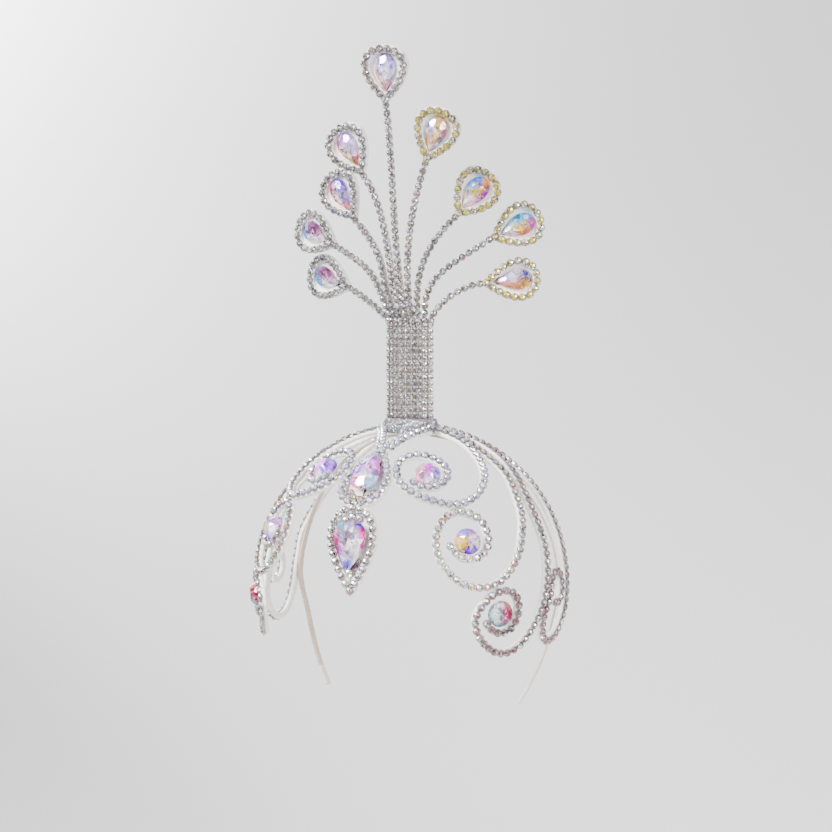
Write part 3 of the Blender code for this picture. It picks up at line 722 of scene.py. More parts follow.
def swept_mesh(
    runs: Sequence[Run], section: np.ndarray, scale: Callable[[float], float] | None = None
) -> bpy.types.Mesh:
    """One mesh of wires with rounded ends, with a UV map in metres: along, and round the wire.

    Args:
        runs: the centre line of each wire.
        section: (across, outward) points round the wire.
        scale: optional size of the section at a distance from the start.

    Returns:
        The mesh, in place.
    """
    count = len(section)
    girth = lengths_along(np.vstack([section, section[:1]]))
    reach = section[:, 1].max() * END_REACH
    ends = [(reach * share, size) for share, size in END_RINGS]
    verts, faces, uvs = [], [], []
    for run in runs:
        along, across, facing = run.axes()
        place = lengths_along(run.points)
        rows = [(0, -push, size) for push, size in ends]
        rows += [(i, 0.0, scale(place[i]) if scale else 1.0) for i in range(len(run.points))]
        rows += [(-1, push, size) for push, size in reversed(ends)]
        base = len(verts)
        stations = []
        for i, push, size in rows:
            middle = run.points[i] + along[i] * push
            ring = middle + size * (section[:, :1] * across[i] + section[:, 1:] * facing[i])
            verts.extend(map(tuple, ring))
            stations.append(place[i] + push)
        for r in range(len(rows) - 1):
            low, high = stations[r], stations[r + 1]
            a, b = base + r * count, base + (r + 1) * count
            for k in range(count):
                j = (k + 1) % count
                faces.append((a + k, a + j, b + j, b + k))
                uvs += [(low, girth[k]), (low, girth[k + 1]), (high, girth[k + 1]), (high, girth[k])]
        for r, order in ((0, range(count - 1, -1, -1)), (len(rows) - 1, range(count))):
            faces.append(tuple(base + r * count + k for k in order))
            uvs += [(stations[r], girth[k]) for k in order]
    data = bpy.data.meshes.new("swept")
    data.from_pydata(verts, [], faces)
    layer = data.uv_layers.new(name="winding")
    layer.data.foreach_set("uv", np.array(uvs, float).ravel())
    shape = bmesh.new()
    shape.from_mesh(data)
    bmesh.ops.recalc_face_normals(shape, faces=shape.faces)
    shape.to_mesh(data)
    shape.free()
    data.shade_smooth()
    return data


def stamped_mesh(
    model: bpy.types.Mesh, runs: Sequence[Run], facet_light_and_tints: Callable[[int, int], np.ndarray] | None = None
) -> bpy.types.Mesh:
    """Copies of a small model at every point of some runs, as one mesh.

    Args:
        model: modelled with its X along the run and its Z outwards.
        runs: where the copies go.
        facet_light_and_tints: optional; gives (copies, faces, 3) colours for the attribute named tint: painted facet
            light and coating tints.

    Returns:
        The joined mesh.
    """
    shape = np.array([v.co for v in model.vertices])
    sides = [tuple(p.vertices) for p in model.polygons]
    verts, faces = [], []
    for run in runs:
        along, across, facing = run.axes()
        for place, x, y, z in zip(run.points, along, across, facing):
            base = len(verts)
            verts.extend(map(tuple, place + shape @ np.stack([x, y, z])))
            faces.extend(tuple(base + k for k in side) for side in sides)
    data = bpy.data.meshes.new("stamped")
    data.from_pydata(verts, [], faces)
    if facet_light_and_tints:
        colours = facet_light_and_tints(len(faces) // len(sides), len(sides)).reshape(-1, 3)
        paint_corners(data, "tint", np.repeat(colours, [len(face.vertices) for face in data.polygons], axis=0))
    return data


def paint_corners(data: bpy.types.Mesh, name: str, colours: np.ndarray) -> None:
    """Stores one colour for each face corner in a colour attribute.

    Args:
        data: the mesh.
        name: the attribute's name.
        colours: a row for each face corner.
    """
    layer = data.color_attributes.new(name, "FLOAT_COLOR", "CORNER")
    rgba = np.ones((len(colours), 4))
    rgba[:, :3] = colours
    layer.data.foreach_set("color", rgba.ravel())


def linear(colours: Sequence[Colour]) -> np.ndarray:
    """Screen colours as the linear ones that the renderer uses."""
    return np.asarray(colours, float) ** SCREEN_GAMMA


def linear_colour(colour: Colour) -> Colour:
    """One screen colour as a linear one."""
    return tuple(float(c) for c in linear(colour))


# Finishes


class Graph:
    """Adds nodes to a tree and links them."""

    def __init__(self, tree: bpy.types.NodeTree) -> None:
        """Starts from a tree."""
        self.tree = tree

    def add(self, kind: str, inputs: dict[str | int, object] | None = None, **settings: object) -> bpy.types.Node:
        """A new node.

        Args:
            kind: the node's type, without the ShaderNode in front.
            inputs: values or output sockets for its inputs.
            settings: its properties.

        Returns:
            The node.
        """
        node = self.tree.nodes.new("ShaderNode" + kind)
        for name, value in settings.items():
            setattr(node, name, value)
        for name, value in (inputs or {}).items():
            if isinstance(value, bpy.types.NodeSocket):
                self.tree.links.new(value, node.inputs[name])
            else:
                node.inputs[name].default_value = value
        return node

    def math(self, operation: str, *values: object) -> bpy.types.NodeSocket:
        """The result of a Math node."""
        return self.add("Math", dict(enumerate(values)), operation=operation).outputs[0]

    def feed(self, value: bpy.types.NodeSocket, node: bpy.types.Node, name: str) -> None:
        """Links a value to a node's input."""
        self.tree.links.new(value, node.inputs[name])

    def emboss(self, shader: bpy.types.Node, height: bpy.types.NodeSocket, distance: float, strength: float) -> None:
        """Gives a shader a bump from a height."""
        node = self.add("Bump", {"Height": height, "Distance": distance, "Strength": strength})
        self.feed(node.outputs[0], shader, "Normal")

    def ramp(self, factor: bpy.types.NodeSocket, stops: Sequence[tuple[float, Colour]]) -> bpy.types.NodeSocket:
        """The colour of a Color Ramp with these stops.

        Args:
            factor: where the ramp is read.
            stops: places and colours.

        Returns:
            The colour's socket.
        """
        node = self.add("ValToRGB", {"Fac": factor})
        band = node.color_ramp
        while len(band.elements) < len(stops):
            band.elements.new(0.5)
        for element, (place, colour) in zip(band.elements, stops):
            element.position = place
            element.color = (*colour, 1.0)
        return node.outputs["Color"]

    def mix(self, factor: bpy.types.NodeSocket, first: object, second: object) -> bpy.types.NodeSocket:
        """The colour of a Mix node, between two sockets or plain colours.

        Args:
            factor: the share of the second.
            first: a colour or its socket.
            second: the same.

        Returns:
            The colour's socket.
        """
        node = self.add("Mix", data_type="RGBA")
        for index, value in zip(MIX_INPUTS, (factor, first, second)):
            if isinstance(value, bpy.types.NodeSocket):
                self.tree.links.new(value, node.inputs[index])
            else:
                node.inputs[index].default_value = (*value, 1.0)
        return node.outputs[MIX_RESULT]

    def put_out(self, values: dict[str, bpy.types.NodeSocket]) -> None:
        """Ends a node group with what it puts out.

        Args:
            values: the sockets, by the outputs' names.
        """
        result = self.tree.nodes.new("NodeGroupOutput")
        for name, value in values.items():
            self.feed(value, result, name)

    def shared(self, name: str, inputs: dict[str, float]) -> bpy.types.Node:
        """A shared node group, placed with its own values.

        Args:
            name: the group's name.
            inputs: values for its inputs.

        Returns:
            The group's node.
        """
        node = self.tree.nodes.new("ShaderNodeGroup")
        node.node_tree = bpy.data.node_groups[name]
        for label, value in inputs.items():
            node.inputs[label].default_value = value
        return node


def new_group(name: str, inputs: dict[str, float], outputs: Sequence[str]) -> tuple[Graph, bpy.types.Node]:
    """An empty node group.

    Args:
        name: the group's name.
        inputs: its inputs with their default values.
        outputs: its outputs.

    Returns:
        A graph on the group, and the node that its inputs come from.
    """
    tree = bpy.data.node_groups.new(name, "ShaderNodeTree")
    for label, value in inputs.items():
        tree.interface.new_socket(name=label, in_out="INPUT", socket_type="NodeSocketFloat").default_value = value
    for label in outputs:
        tree.interface.new_socket(name=label, in_out="OUTPUT", socket_type="NodeSocketFloat")
    return Graph(tree), tree.nodes.new("NodeGroupInput")


def winding_group() -> None:
    """Turns of tape along a wire: the overlapping edge as a height, a mask of that edge for painted shade, and a value
    that differs from turn to turn.
    """
    wobble_scale, wobble_reach, edge_sharpness = 420.0, 0.7 * MM, 7.0
    fibre_scale, fibre_share = 2600.0, 0.25
    graph, given = new_group("tape_winding", {"Pitch": 5 * MM, "Slant": 0.5}, ("Height", "Edge", "Turn"))
    uv = graph.add("UVMap", uv_map="winding").outputs[0]
    split = graph.add("SeparateXYZ", {0: uv})
    noise = graph.add("TexNoise", {"Vector": uv, "Scale": wobble_scale, "Detail": 2.0})
    slanted = graph.math("MULTIPLY", split.outputs[1], given.outputs["Slant"])
    wobble = graph.math("MULTIPLY", noise.outputs["Fac"], wobble_reach)
    place = graph.math("ADD", graph.math("ADD", split.outputs[0], slanted), wobble)
    turns = graph.math("DIVIDE", place, given.outputs["Pitch"])
    within = graph.math("FRACT", turns)
    flank = graph.math("MINIMUM", graph.math("MULTIPLY", within, edge_sharpness), 1.0)
    fibres = graph.add("TexNoise", {"Vector": uv, "Scale": fibre_scale, "Detail": 1.0})
    height = graph.math("ADD", within, graph.math("MULTIPLY", fibres.outputs["Fac"], fibre_share))
    turn = graph.add("TexWhiteNoise", {"W": graph.math("FLOOR", turns)}, noise_dimensions="1D")
    graph.put_out({"Height": height, "Edge": graph.math("SUBTRACT", 1.0, flank), "Turn": turn.outputs["Value"]})


def mottle_group() -> None:
    """Soft uneven tone over a surface, for wear, glue and handling."""
    middle = 0.5
    graph, given = new_group("mottle", {"Scale": 120.0, "Contrast": 1.0}, ("Fac",))
    place = graph.add("TexCoord").outputs["Object"]
    noise = graph.add("TexNoise", {"Vector": place, "Scale": given.outputs["Scale"], "Detail": 3.0})
    centred = graph.math("SUBTRACT", noise.outputs["Fac"], middle)
    graph.put_out({"Fac": graph.math("ADD", graph.math("MULTIPLY", centred, given.outputs["Contrast"]), middle)})


def patches_group() -> None:
    """Straight-edged patches inside a cut stone: a mask for a second hue, a mask for painted highlights, and a painted
    shade, all of which change from patch to patch.
    """
    first_from, highlight_from = 0.62, 0.86
    graph, given = new_group("facet_patches", {"Scale": 240.0}, ("First", "Second", "Shade"))
    place = graph.add("TexCoord").outputs["Object"]
    cells = graph.add("TexVoronoi", {"Vector": place, "Scale": given.outputs["Scale"]})
    split = graph.add("SeparateColor", {0: cells.outputs["Color"]})
    first = graph.math("GREATER_THAN", split.outputs[0], first_from)
    second = graph.math("GREATER_THAN", split.outputs[1], highlight_from)
    graph.put_out({"First": first, "Second": second, "Shade": split.outputs[2]})


@dataclass(frozen=True)
class Finish:
    """What every finish has: a name, a colour as seen on screen, and its gloss."""

    name: str
    colour: Colour
    roughness: float = 0.5
    metallic: float = 0.0

    def start(self, **plain: float) -> tuple[bpy.types.Material, Graph, bpy.types.Node]:
        """A new material.

        Args:
            plain: more plain values of its shader, with _ for the spaces in the inputs' names.

        Returns:
            The material, a graph on it and its shader.
        """
        material = bpy.data.materials.new(self.name)
        material.use_nodes = True
        shader = material.node_tree.nodes["Principled BSDF"]
        colour = (*linear_colour(self.colour), 1.0)
        shader.inputs["Base Color"].default_value = colour
        shader.inputs["Roughness"].default_value = self.roughness
        shader.inputs["Metallic"].default_value = self.metallic
        for label, value in plain.items():
            shader.inputs[label.replace("_", " ")].default_value = value
        material.diffuse_color = colour
        return material, Graph(material.node_tree), shader


@dataclass(frozen=True)
class WoundTape(Finish):
    """Satin tape wound round wire, with worn patches and the edges of its turns showing as painted shade."""

    # Dark colour for both the worn patches and the painted shade at the edges of the turns
    wear_and_shade: Colour = (0.74, 0.71, 0.64)
    pitch: float = 5 * MM
    slant: float = 0.33
    relief: float = 0.25 * MM
    relief_strength: float = 0.5
    wear: float = 0.35
    wear_scale: float = 90.0
    wear_contrast: float = 1.4
    edge_shadow: float = 0.55
    gloss_spread: float = 0.12
    sheen: float = 0.25
    sheen_roughness: float = 0.4

    def build(self) -> bpy.types.Material:
        """The material.

        Returns:
            The finished material.
        """
        material, graph, shader = self.start(Sheen_Weight=self.sheen, Sheen_Roughness=self.sheen_roughness)
        winding = graph.shared("tape_winding", {"Pitch": self.pitch, "Slant": self.slant})
        mottle = graph.shared("mottle", {"Scale": self.wear_scale, "Contrast": self.wear_contrast})
        light, dark = linear_colour(self.colour), linear_colour(self.wear_and_shade)
        worn = graph.mix(graph.math("MULTIPLY", mottle.outputs["Fac"], self.wear), light, dark)
        # Painted shade at the overlapping edge of each turn, towards the same dark colour as the wear
        edged = graph.mix(graph.math("MULTIPLY", winding.outputs["Edge"], self.edge_shadow), worn, dark)
        graph.feed(edged, shader, "Base Color")
        smoothest = self.roughness - self.gloss_spread / 2
        gloss = graph.math("MULTIPLY_ADD", winding.outputs["Turn"], self.gloss_spread, smoothest)
        graph.feed(gloss, shader, "Roughness")
        graph.emboss(shader, winding.outputs["Height"], self.relief, self.relief_strength)
        return material


@dataclass(frozen=True)
class FoiledStone(Finish):
    """Small chain stones: every facet has its own tint and painted reflection light, from the attribute named tint."""

    coat: float = 0.35
    coat_roughness: float = 0.03

    def build(self) -> bpy.types.Material:
        """The material.

        Returns:
            The finished material.
        """
        material, graph, shader = self.start(Coat_Weight=self.coat, Coat_Roughness=self.coat_roughness)
        tint = graph.add("VertexColor", layer_name="tint")
        graph.feed(tint.outputs["Color"], shader, "Base Color")
        return material


@dataclass(frozen=True)
class IrisStone(Finish):
    """Large cut stones with an iridescent coating, in straight-edged shards of blended hues, with painted highlight
    shards and painted light and dark from shard to shard.
    """

    scale: float = 330.0
    flash_share: float = 0.5
    # Painted highlights: the share and the near-white colour of the highlight shards
    highlight_share: float = 0.4
    pale: Colour = (0.93, 0.93, 0.96)
    # Painted light and dark from shard to shard
    shade_spread: float = 0.6
    shade_least: float = 0.66
    ior: float = 1.6
    coat: float = 0.35
    coat_roughness: float = 0.08
    clearness: float = 0.15

    def build(self) -> bpy.types.Material:
        """The material.

        Returns:
            The finished material.
        """
        material, graph, shader = self.start(
            IOR=self.ior,
            Coat_Weight=self.coat,
            Coat_Roughness=self.coat_roughness,
            Transmission_Weight=self.clearness,
        )
        patches = graph.shared("facet_patches", {"Scale": self.scale})
        hues = [graph.add("VertexColor", layer_name=name).outputs["Color"] for name in ("base", "flash")]
        mixed = graph.mix(graph.math("MULTIPLY", patches.outputs["First"], self.flash_share), *hues)
        # Painted highlights mixed into some shards
        mixed = graph.mix(graph.math("MULTIPLY", patches.outputs["Second"], self.highlight_share), mixed, self.pale)
        # Painted shade: a brightness for each shard
        shade = graph.math("MULTIPLY_ADD", patches.outputs["Shade"], self.shade_spread, self.shade_least)
        bright = graph.add("HueSaturation", {"Color": mixed, "Value": shade})
        graph.feed(bright.outputs[0], shader, "Base Color")
        return material


@dataclass(frozen=True)
class GlitterCloth(Finish):
    """Grey cloth thick with glitter, with painted glints on the lightest flakes."""

    scale: float = 1500.0
    dark_share: float = 0.35
    # Near-white colour of the painted glints
    painted_glint: Colour = (0.9, 0.9, 0.93)
    stops: tuple[float, ...] = (0.0, 0.45, 0.86, 0.93)
    metal_from: float = 0.75
    metal: float = 0.6
    relief: float = 0.15 * MM
    relief_strength: float = 0.7

    def build(self) -> bpy.types.Material:
        """The material.

        Returns:
            The finished material.
        """
        material, graph, shader = self.start()
        place = graph.add("TexCoord").outputs["Object"]
        cells = graph.add("TexVoronoi", {"Vector": place, "Scale": self.scale})
        split = graph.add("SeparateColor", {0: cells.outputs["Color"]})
        cloth = linear_colour(self.colour)
        dark = tuple(c * self.dark_share for c in cloth)
        colours = graph.ramp(split.outputs[0], tuple(zip(self.stops, (dark, cloth, cloth, self.painted_glint))))
        graph.feed(colours, shader, "Base Color")
        glint = graph.math("MULTIPLY", graph.math("GREATER_THAN", split.outputs[1], self.metal_from), self.metal)
        graph.feed(glint, shader, "Metallic")
        graph.emboss(shader, split.outputs[2], self.relief, self.relief_strength)
        return material


@dataclass(frozen=True)
class MottledPlain(Finish):
    """A plain finish whose tone and gloss vary a little over the surface."""

    variation: float = 0.15
    scale: float = 150.0
    contrast: float = 1.6
    gloss_spread: float = 0.15
    gloss_shift: float = 0.08
    least_roughness: float = 0.02

    def build(self) -> bpy.types.Material:
        """The material.

        Returns:
            The finished material.
        """
        material, graph, shader = self.start()
        mottle = graph.shared("mottle", {"Scale": self.scale, "Contrast": self.contrast}).outputs["Fac"]
        light = linear_colour(self.colour)
        dark = tuple(c * (1 - self.variation) for c in light)
        graph.feed(graph.mix(mottle, light, dark), shader, "Base Color")
        smoothest = max(self.least_roughness, self.roughness - self.gloss_shift)
        graph.feed(graph.math("MULTIPLY_ADD", mottle, self.gloss_spread, smoothest), shader, "Roughness")
        return material


@dataclass
class Finishes:
    """All the materials of the headpiece."""

    tape: bpy.types.Material
    backing: bpy.types.Material
    silver: bpy.types.Material
    stone: bpy.types.Material
    iris: bpy.types.Material
    cloth: bpy.types.Material
    band: bpy.types.Material
    thread: bpy.types.Material
    glue: bpy.types.Material

    @classmethod
    def make(cls) -> Finishes:
        """Builds the shared groups and then every material.

        Returns:
            The materials.
        """
        winding_group()
        mottle_group()
        patches_group()
        return cls(
            tape=WoundTape("satin_tape", (0.95, 0.94, 0.91), 0.5).build(),
            backing=MottledPlain("white_backing", (0.97, 0.97, 0.98), 0.45, variation=0.06).build(),
            silver=MottledPlain("silver_cup", (0.68, 0.67, 0.68), 0.36, 1.0, variation=0.4, scale=300.0).build(),
            stone=FoiledStone("chain_crystal", (0.7, 0.7, 0.7), 0.2, 0.7).build(),
            iris=IrisStone("iridescent_crystal", (0.7, 0.7, 0.8), 0.16, 0.35).build(),
            cloth=GlitterCloth("glitter_cloth", (0.40, 0.39, 0.42), 0.5).build(),
            band=WoundTape("beige_tape", (0.80, 0.72, 0.66), 0.55, wear_and_shade=(0.58, 0.48, 0.42), pitch=6 * MM).build(),
            thread=WoundTape("white_thread", (0.88, 0.85, 0.82), 0.6, wear_and_shade=(0.6, 0.54, 0.5), pitch=1.1 * MM).build(),
            glue=MottledPlain("amber_glue", (0.45, 0.30, 0.14), 0.12, variation=0.4).build(),
        )


# Chain and stones


@dataclass
class ChainKit:
    """Models one cup and one stone of a chain, and lays rows of both."""

    size: ChainSize
    finishes: Finishes
    sides: int = 8
    cup_wall: float = 0.12 * MM
    cup_height: float = 1.1 * MM
    cup_hollow: float = 0.6 * MM
    lip: float = 0.28 * MM
    prong_height: float = 0.55 * MM
    prong_lean: float = 0.86
    link_overlap: float = 0.6 * MM
    link_width: float = 0.9 * MM
    link_depth: float = 0.5 * MM
    link_height: float = 0.35 * MM
    girdle: float = 0.35 * MM
    girdle_height: float = 0.9 * MM
    crown_share: float = 0.22
    table_share: float = 0.58
    peak_share: float = 0.06
    hue_gain: tuple[float, float] = (0.45, 1.2)
    lively_share: float = 0.6
    lively_gains: tuple[float, float] = (1.5, 0.5)
    # Tint of the painted reflections on facets without colour
    silver_light: Colour = (1.0, 0.985, 0.97)
    cup: bpy.types.Mesh = field(init=False)
    stone: bpy.types.Mesh = field(init=False)

    def __post_init__(self) -> None:
        """Models the cup and the stone once."""
        self.cup = self.model_cup()
        self.stone = self.model_stone()

    def block(self, radius: float, depth: float, middle: float) -> bpy.types.Object:
        """A low cylinder at a height, in edit mode with its top selected.

        Args:
            radius: its radius.
            depth: its height.
            middle: Z of its middle.

        Returns:
            The object in edit mode.
        """
        bpy.ops.object.select_all(action="DESELECT")
        bpy.ops.mesh.primitive_cylinder_add(vertices=self.sides, radius=radius, depth=depth, location=(0, 0, middle))
        piece = bpy.context.active_object
        bpy.ops.object.transform_apply()
        bpy.ops.object.mode_set(mode="EDIT")
        select_faces(piece, lambda centre, normal: normal.z > 0.9)
        return piece

    def model_cup(self) -> bpy.types.Mesh:
        """A pressed cup with four prongs and the link to the next one.

        Returns:
            The cup's mesh, with its back at z = 0.
        """
        radius, height = self.size.stone / 2 + self.cup_wall, self.cup_height
        cup = self.block(radius, height, height / 2)
        bpy.ops.mesh.inset(thickness=self.lip)
        extrude_up(-self.cup_hollow)
        rim, turn = radius * math.cos(math.pi / self.sides), 2 * math.pi / self.sides
        select_faces(
            cup,
            lambda centre, normal: normal.z > 0.9
            and centre.z > height * 0.95
            and centre.xy.length > rim * 0.8
            and math.floor(math.atan2(centre.y, centre.x) / turn) % 2 == 0,
        )
        extrude_up(self.prong_height)
        scale_flat(self.prong_lean)
        bpy.ops.mesh.select_all(action="DESELECT")
        link = (self.size.pitch - 2 * rim + self.link_overlap, self.link_width, self.link_depth)
        bpy.ops.mesh.primitive_cube_add(size=1, location=(self.size.pitch / 2, 0, self.link_height), scale=link)
        bpy.ops.object.mode_set(mode="OBJECT")
        return take_mesh(cup)

    def model_stone(self) -> bpy.types.Mesh:
        """A round stone with a table and a ring of triangular facets.

        Returns:
            The stone's mesh, at its height in the cup.
        """
        stone = self.block(self.size.stone / 2, self.girdle, self.girdle_height)
        extrude_up(self.crown_share * self.size.stone)
        scale_flat(self.table_share)
        bpy.ops.transform.rotate(value=math.pi / self.sides, orient_axis="Z", center_override=(0, 0, 0))
        bpy.ops.mesh.poke(offset=self.peak_share * self.size.stone)
        select_faces(stone, lambda centre, normal: abs(normal.z) < 0.98 and centre.z < self.girdle_height + self.girdle)
        bpy.ops.mesh.quads_convert_to_tris(quad_method="SHORTEST_DIAGONAL")
        bpy.ops.object.mode_set(mode="OBJECT")
        return take_mesh(stone)

    def facet_light_and_tints(self, tone: Tone, seed: int, copies: int, sides: int) -> np.ndarray:
        """Painted reflections: light, middling and dark facets, some of them coloured.

        Args:
            tone: the hues that glint in the row.
            seed: makes the row's glints its own.
            copies: how many stones there are.
            sides: how many facets each has.

        Returns:
            A colour for each stone and facet.
        """
        rng = np.random.default_rng(seed)
        share, brightness, hues = tone.value
        odds = np.array(DULL_SHARES) * (1 - brightness) + np.array(BRIGHT_SHARES) * brightness
        # Painted reflections: each facet gets a light level, and coloured facets are lightened and darkened with it
        shade = rng.choice(PAINTED_CHAIN_FACET_LIGHT, (copies, sides, 1), p=odds)
        shade = shade * rng.uniform(0.7, 1.3, (copies, sides, 1))
        least, gain = self.hue_gain
        hue = linear(hues)[rng.integers(0, len(hues), (copies, sides))] * (least + gain * shade)
        lively = rng.random((copies, 1, 1)) < self.lively_share
        pick = rng.random((copies, sides, 1)) < np.where(lively, *(share * gain for gain in self.lively_gains))
        return np.clip(np.where(pick, hue, shade * np.array(self.silver_light)), 0, 1)

    def lay(self, name: str, slot: str, rows: Sequence[Run], tone: Tone, seed: int) -> None:
        """Lays chain along some rows, as one piece of cups and one of stones.

        Args:
            name: start of the pieces' names.
            slot: not used.
            rows: the places of the cups, already a pitch apart.
            tone: the hues that glint in the rows.
            seed: makes the rows' glints their own.
        """
        new_piece(name + "_cups", stamped_mesh(self.cup, rows), [self.finishes.silver])
        stones = stamped_mesh(self.stone, rows, lambda copies, sides: self.facet_light_and_tints(tone, seed, copies, sides))
        new_piece(name + "_stones", stones, [self.finishes.stone])
        log.info("%s: %d chain stones", name, sum(len(row.points) for row in rows))


@dataclass(frozen=True)
class FacetRow:
    """A row of facets: how many, their shift, where they start, their reach, and how steep they are."""

    count: int
    shift: float
    start: float
    reach: float
    steep: float


@dataclass
class StoneCutter:
    """Cuts one large stone from a block of its outline, facet by facet."""

    outline: np.ndarray
    girdle: float
    height: float
    back_share: float = 1.0
    table_share: float = 0.52
    inner_table: float = 0.5
    rows: tuple[FacetRow, ...] = (
        FacetRow(16, 0.25, 0.0, 1.0, 0.62),
        FacetRow(8, 0.0, 0.28, 0.93, 1.0),
        FacetRow(8, 0.5, 0.66, 0.76, 1.0),
    )

    def cut(self) -> bpy.types.Mesh:
        """The stone, with its back at z = 0 and its table up.

        Returns:
            The stone's mesh.
        """
        centre = self.outline.mean(axis=0)
        rise = self.height - self.girdle
        stone = add_outline(self.outline, 0)
        extrude_up(self.girdle)
        extrude_up(rise)
        select_faces(stone, lambda middle, normal: abs(normal.z) > 0.5 and middle.z < 1e-6)
        scale_flat(self.back_share, (*centre, 0))
        for row in self.rows:
            low = self.girdle + rise * row.start
            for i in range(row.count):
                facing = 2 * math.pi * (i + row.shift) / row.count
                outward = np.array([math.cos(facing), math.sin(facing)])
                reach = float(((self.outline - centre) @ outward).max())
                slope = (self.height - low) / (reach * (row.reach - self.table_share)) / row.steep
                bpy.ops.mesh.select_all(action="SELECT")
                bpy.ops.mesh.bisect(
                    plane_co=(*(centre + outward * reach * row.reach), low),
                    plane_no=Vector((*(outward * slope), 1)).normalized(),
                    use_fill=True,
                    clear_outer=True,
                )
        select_faces(stone, lambda middle, normal: normal.z > 0.99 and middle.z > self.height * 0.98)
        extrude_up(0)
        scale_flat(self.inner_table, (*centre, self.height))
        bpy.ops.mesh.poke()
        bpy.ops.mesh.select_all(action="SELECT")
        bpy.ops.mesh.normals_make_consistent(inside=False)
        bpy.ops.mesh.quads_convert_to_tris(quad_method="SHORTEST_DIAGONAL")
        bpy.ops.object.mode_set(mode="OBJECT")
        return take_mesh(stone)


def set_stone(name: str, cut: bpy.types.Mesh, place: Matrix, iris: Iris, seed: int, finishes: Finishes) -> None:
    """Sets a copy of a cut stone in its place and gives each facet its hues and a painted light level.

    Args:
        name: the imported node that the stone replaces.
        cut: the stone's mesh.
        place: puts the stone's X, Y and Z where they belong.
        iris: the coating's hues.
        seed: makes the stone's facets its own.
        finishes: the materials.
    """
    data = cut.copy()
    rng = np.random.default_rng(seed)
    corners = np.array([data.vertices[loop.vertex_index].co[:2] for loop in data.loops])
    low, high = corners.min(axis=0), corners.max(axis=0)
    spot = (corners - low) / (high - low) * (2, 1) - (1, 0)
    counts = [len(face.vertices) for face in data.polygons]
    stray = np.repeat(rng.normal(0, 1, (len(counts), 2)) * HUE_SPREAD, counts, axis=0)
    # Painted reflections: a random light level for each facet
    shade = rng.choice(PAINTED_CUT_FACET_LIGHT, len(counts), p=CUT_SHARES)
    for layer, reach in (("base", 1.0), ("flash", FLASH_REACH)):
        colours = patch_colours(iris, spot + stray * reach) * np.repeat(shade, counts)[:, None]
        paint_corners(data, layer, np.clip(colours, 0, 1))
    data.transform(place)
    new_piece(name + "_cut", data, [finishes.iris], name)


def patch_colours(iris: Iris, spots: np.ndarray) -> np.ndarray:
    """The hues of a coating at some (across, along) spots, blended between its patches.

    Args:
        iris: the coating.
        spots: a row for each spot.

    Returns:
        A linear colour for each spot.
    """
    places = np.array([patch[:2] for patch in iris.value])
    hues = linear([patch[2] for patch in iris.value])
    grey = hues.mean(axis=1, keepdims=True)
    hues = np.clip(grey + (hues - grey) * HUE_STRENGTH, 0, 1)
    away = ((spots[:, None] - places[None]) * PATCH_ASPECT) ** 2
    shares = np.exp(-away.sum(axis=2) / PATCH_SOFTNESS) + 1e-9
    return (shares @ hues / shares.sum(axis=1, keepdims=True)) ** HUE_DEPTH


def placed(across: Vector, along: Vector, facing: Vector, origin: Vector) -> Matrix:
    """The matrix that puts a mesh's X, Y and Z on three axes, at an origin.

    Args:
        across: where X goes.
        along: where Y goes.
        facing: where Z goes.
        origin: where the mesh's origin goes.

    Returns:
        The matrix.
    """
    matrix = Matrix((across, along, facing)).transposed().to_4x4()
    matrix.translation = origin
    return matrix


# Sub-assemblies


@dataclass
class PearTray:
    """A teardrop frame: a taped rim round a white backing. Its back is at z = 0 and its face looks up."""

    width: float
    length: float
    rim: float
    points: int = 48
    rounding: float = 0.7 * MM

    @property
    def tip_share(self) -> float:
        """How far the tip moves for each unit of inset."""
        return 1 / math.sin(math.atan2(self.width / PEAR_WIDEST, self.length))

    def outline(self, inset: float, count: int) -> np.ndarray:
        """The outline at an inset.

        Args:
            inset: how far inside the frame's edge.
            count: the number of points.

        Returns:
            The points, as (x, y).
        """
        points = pear(self.width - 2 * inset, self.length - inset * (1 + self.tip_share), count)
        points[:, 1] += inset * self.tip_share
        return points

    def model(self, place: Matrix) -> bpy.types.Mesh:
        """Models the tray.

        Args:
            place: where it goes.

        Returns:
            The tray in place, with the backing's faces in the second material slot and a UV map along the rim.
        """
        tray = add_outline(self.outline(0, self.points), TRAY_BACK)
        extrude_up(FRAME_DEPTH - TRAY_BACK)
        bpy.ops.mesh.inset(thickness=self.rim)
        extrude_up(TRAY_FLOOR - FRAME_DEPTH)
        bpy.ops.mesh.select_all(action="SELECT")
        bpy.ops.mesh.normals_make_consistent(inside=False)
        bpy.ops.object.mode_set(mode="OBJECT")
        apply_bevel(tray, self.rounding, 3, 50)
        data = take_mesh(tray)
        data.shade_smooth()
        for face in data.polygons:
            face.material_index = int(face.normal.z > 0.9 and face.center.z < TRAY_FLOOR + GAP)
        self.unwrap(data)
        data.transform(place)
        return data

    def unwrap(self, data: bpy.types.Mesh) -> None:
        """A UV map in metres: along the rim from the tip, and over the rim.

        Args:
            data: the tray's mesh, not yet in place.
        """
        line = self.outline(self.rim / 2, 4 * self.points)
        place = lengths_along(np.vstack([line, line[:1]]))
        fold = np.minimum(place[:-1], place[-1] - place[:-1])
        co = np.array([v.co for v in data.vertices])
        nearest = ((co[:, None, :2] - line[None]) ** 2).sum(2).argmin(1)
        layer = data.uv_layers.new(name="winding")
        index = np.array([loop.vertex_index for loop in data.loops])
        layer.data.foreach_set("uv", np.stack([fold[nearest[index]], co[index, 2]], 1).ravel())

    def chain_row(self, size: ChainSize, place: Matrix) -> Run:
        """Places of the cups round the rim, one of them at the tip.

        Args:
            size: the chain's size.
            place: where the tray is.

        Returns:
            The places, a pitch apart.
        """
        line = self.outline(CHAIN_INSET, 5 * self.points)
        line = np.vstack([line, line[:1]])
        around = lengths_along(line)
        count = round(around[-1] / size.pitch)
        return laid_flat(spread(np.arange(count) * around[-1] / count, around, line), FRAME_DEPTH, place)


